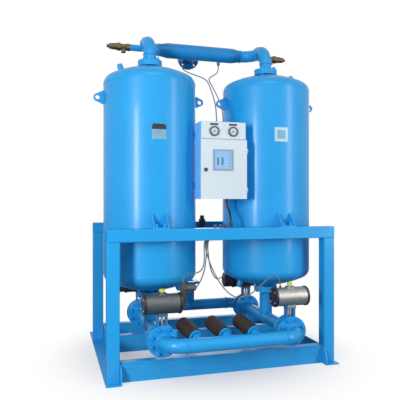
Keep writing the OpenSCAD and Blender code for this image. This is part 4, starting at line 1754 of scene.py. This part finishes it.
@dataclass
class Studio:
    """Pale floor, soft boxes and the photograph's camera."""

    eye: Point = (-1.118, -3.563 + TOWER_Y, 1.141)
    turn: float = -16.34
    lens: float = 45.65
    sensor: float = 36.0
    sight: float = 60.0
    floor_size: float = 40.0
    floor_z: float = -0.0005
    floor_tones: tuple[Colour, Colour] = ((0.9, 0.9, 0.9), (0.93, 0.93, 0.93))
    floor_scale: float = 3.0
    floor_dim: Colour = (0.34, 0.38, 0.43)
    glow_near: float = 0.3
    glow_span: Span = (0.5, 1.3)
    sky: Colour = (0.9, 0.95, 1.0)
    sky_level: float = 0.26
    lamps: tuple[SoftBox, ...] = (
        SoftBox("key", -46.0, 4.4, 1.6, (0.7, 1.6), 114.0),
        SoftBox("side", 43.0, 4.2, 1.7, (0.9, 2.6), 66.0),
        SoftBox("back", 165.0, 4.6, 2.2, (2.4, 2.2), 45.0),
        SoftBox("top", -10.0, 3.6, 4.2, (2.6, 1.8), 40.0),
    )

    def camera(self) -> None:
        """Sets up the camera."""
        data = bpy.data.cameras.new("view")
        data.lens = self.lens
        data.sensor_width = self.sensor
        data.sensor_fit = "HORIZONTAL"
        data.clip_end = self.sight
        cam = bpy.data.objects.new("view", data)
        cam.location = self.eye
        cam.rotation_euler = (math.pi / 2, 0, math.radians(self.turn))
        bpy.context.scene.collection.objects.link(cam)
        bpy.context.scene.camera = cam

    def floor(self) -> None:
        """Lays a pale floor that turns white to the camera beyond the shadow."""
        Bench.clear()
        bpy.ops.mesh.primitive_plane_add(size=self.floor_size, location=(0, 0, self.floor_z))
        floor = Bench.started("floor")
        g = Graph(bpy.data.materials.new("floor"))
        where = g.place()
        out = g.node("ShaderNodeVectorMath", {"operation": "LENGTH"}, {0: where}, "Value")
        far = g.ramp(out, self.glow_span)
        tone = g.mix(g.noise(self.floor_scale, where), *self.floor_tones)
        near = g.node("ShaderNodeBsdfDiffuse", {}, {"Color": tone})
        white = g.node("ShaderNodeEmission", {}, {"Color": WHITE, "Strength": 1.0})
        glow = self.glow_near + far * (1.0 - self.glow_near)
        view = g.node("ShaderNodeMixShader", {}, {0: glow, 1: near, 2: white})
        dim = g.node("ShaderNodeBsdfDiffuse", {}, {"Color": self.floor_dim})
        seen = g.node("ShaderNodeLightPath", out="Is Camera Ray")
        floor.data.materials.append(g.close(g.node("ShaderNodeMixShader", {}, {0: seen, 1: dim, 2: view})))

    def world(self) -> None:
        """Sets even surroundings: white to the camera and to reflections, dimmer as light."""
        g = Graph(bpy.data.worlds.new("surroundings"))
        seen = g.node("ShaderNodeLightPath", out="Is Camera Ray")
        for kind in ("Is Glossy Ray", "Is Transmission Ray"):
            seen = seen.math("MAXIMUM", seen, g.node("ShaderNodeLightPath", out=kind))
        dim = g.node("ShaderNodeBackground", {}, {"Color": self.sky, "Strength": self.sky_level})
        white = g.node("ShaderNodeBackground", {}, {"Color": WHITE, "Strength": 1.0})
        bpy.context.scene.world = g.close(g.node("ShaderNodeMixShader", {}, {0: seen, 1: dim, 2: white}))

    def build(self) -> None:
        """Sets the whole studio."""
        self.camera()
        self.floor()
        self.world()
        for lamp in self.lamps:
            lamp.hang()
        bpy.context.scene.view_settings.view_transform = "Standard"


def main() -> None:
    """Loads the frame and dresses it."""
    logging.basicConfig(level=logging.INFO, format="%(name)s: %(message)s")
    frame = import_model()
    Studio().build()
    shop = Shop()
    Frame(shop, frame["nodes"], frame["record"]).build()
    for part in (Fasteners, Welds, Plates, Gauges, BoxTrim, ActuatorTrim, Mufflers, AirFilter, Hoses):
        part(shop).build()
    Bench.clear()


if __name__ == "__main__":
    main()
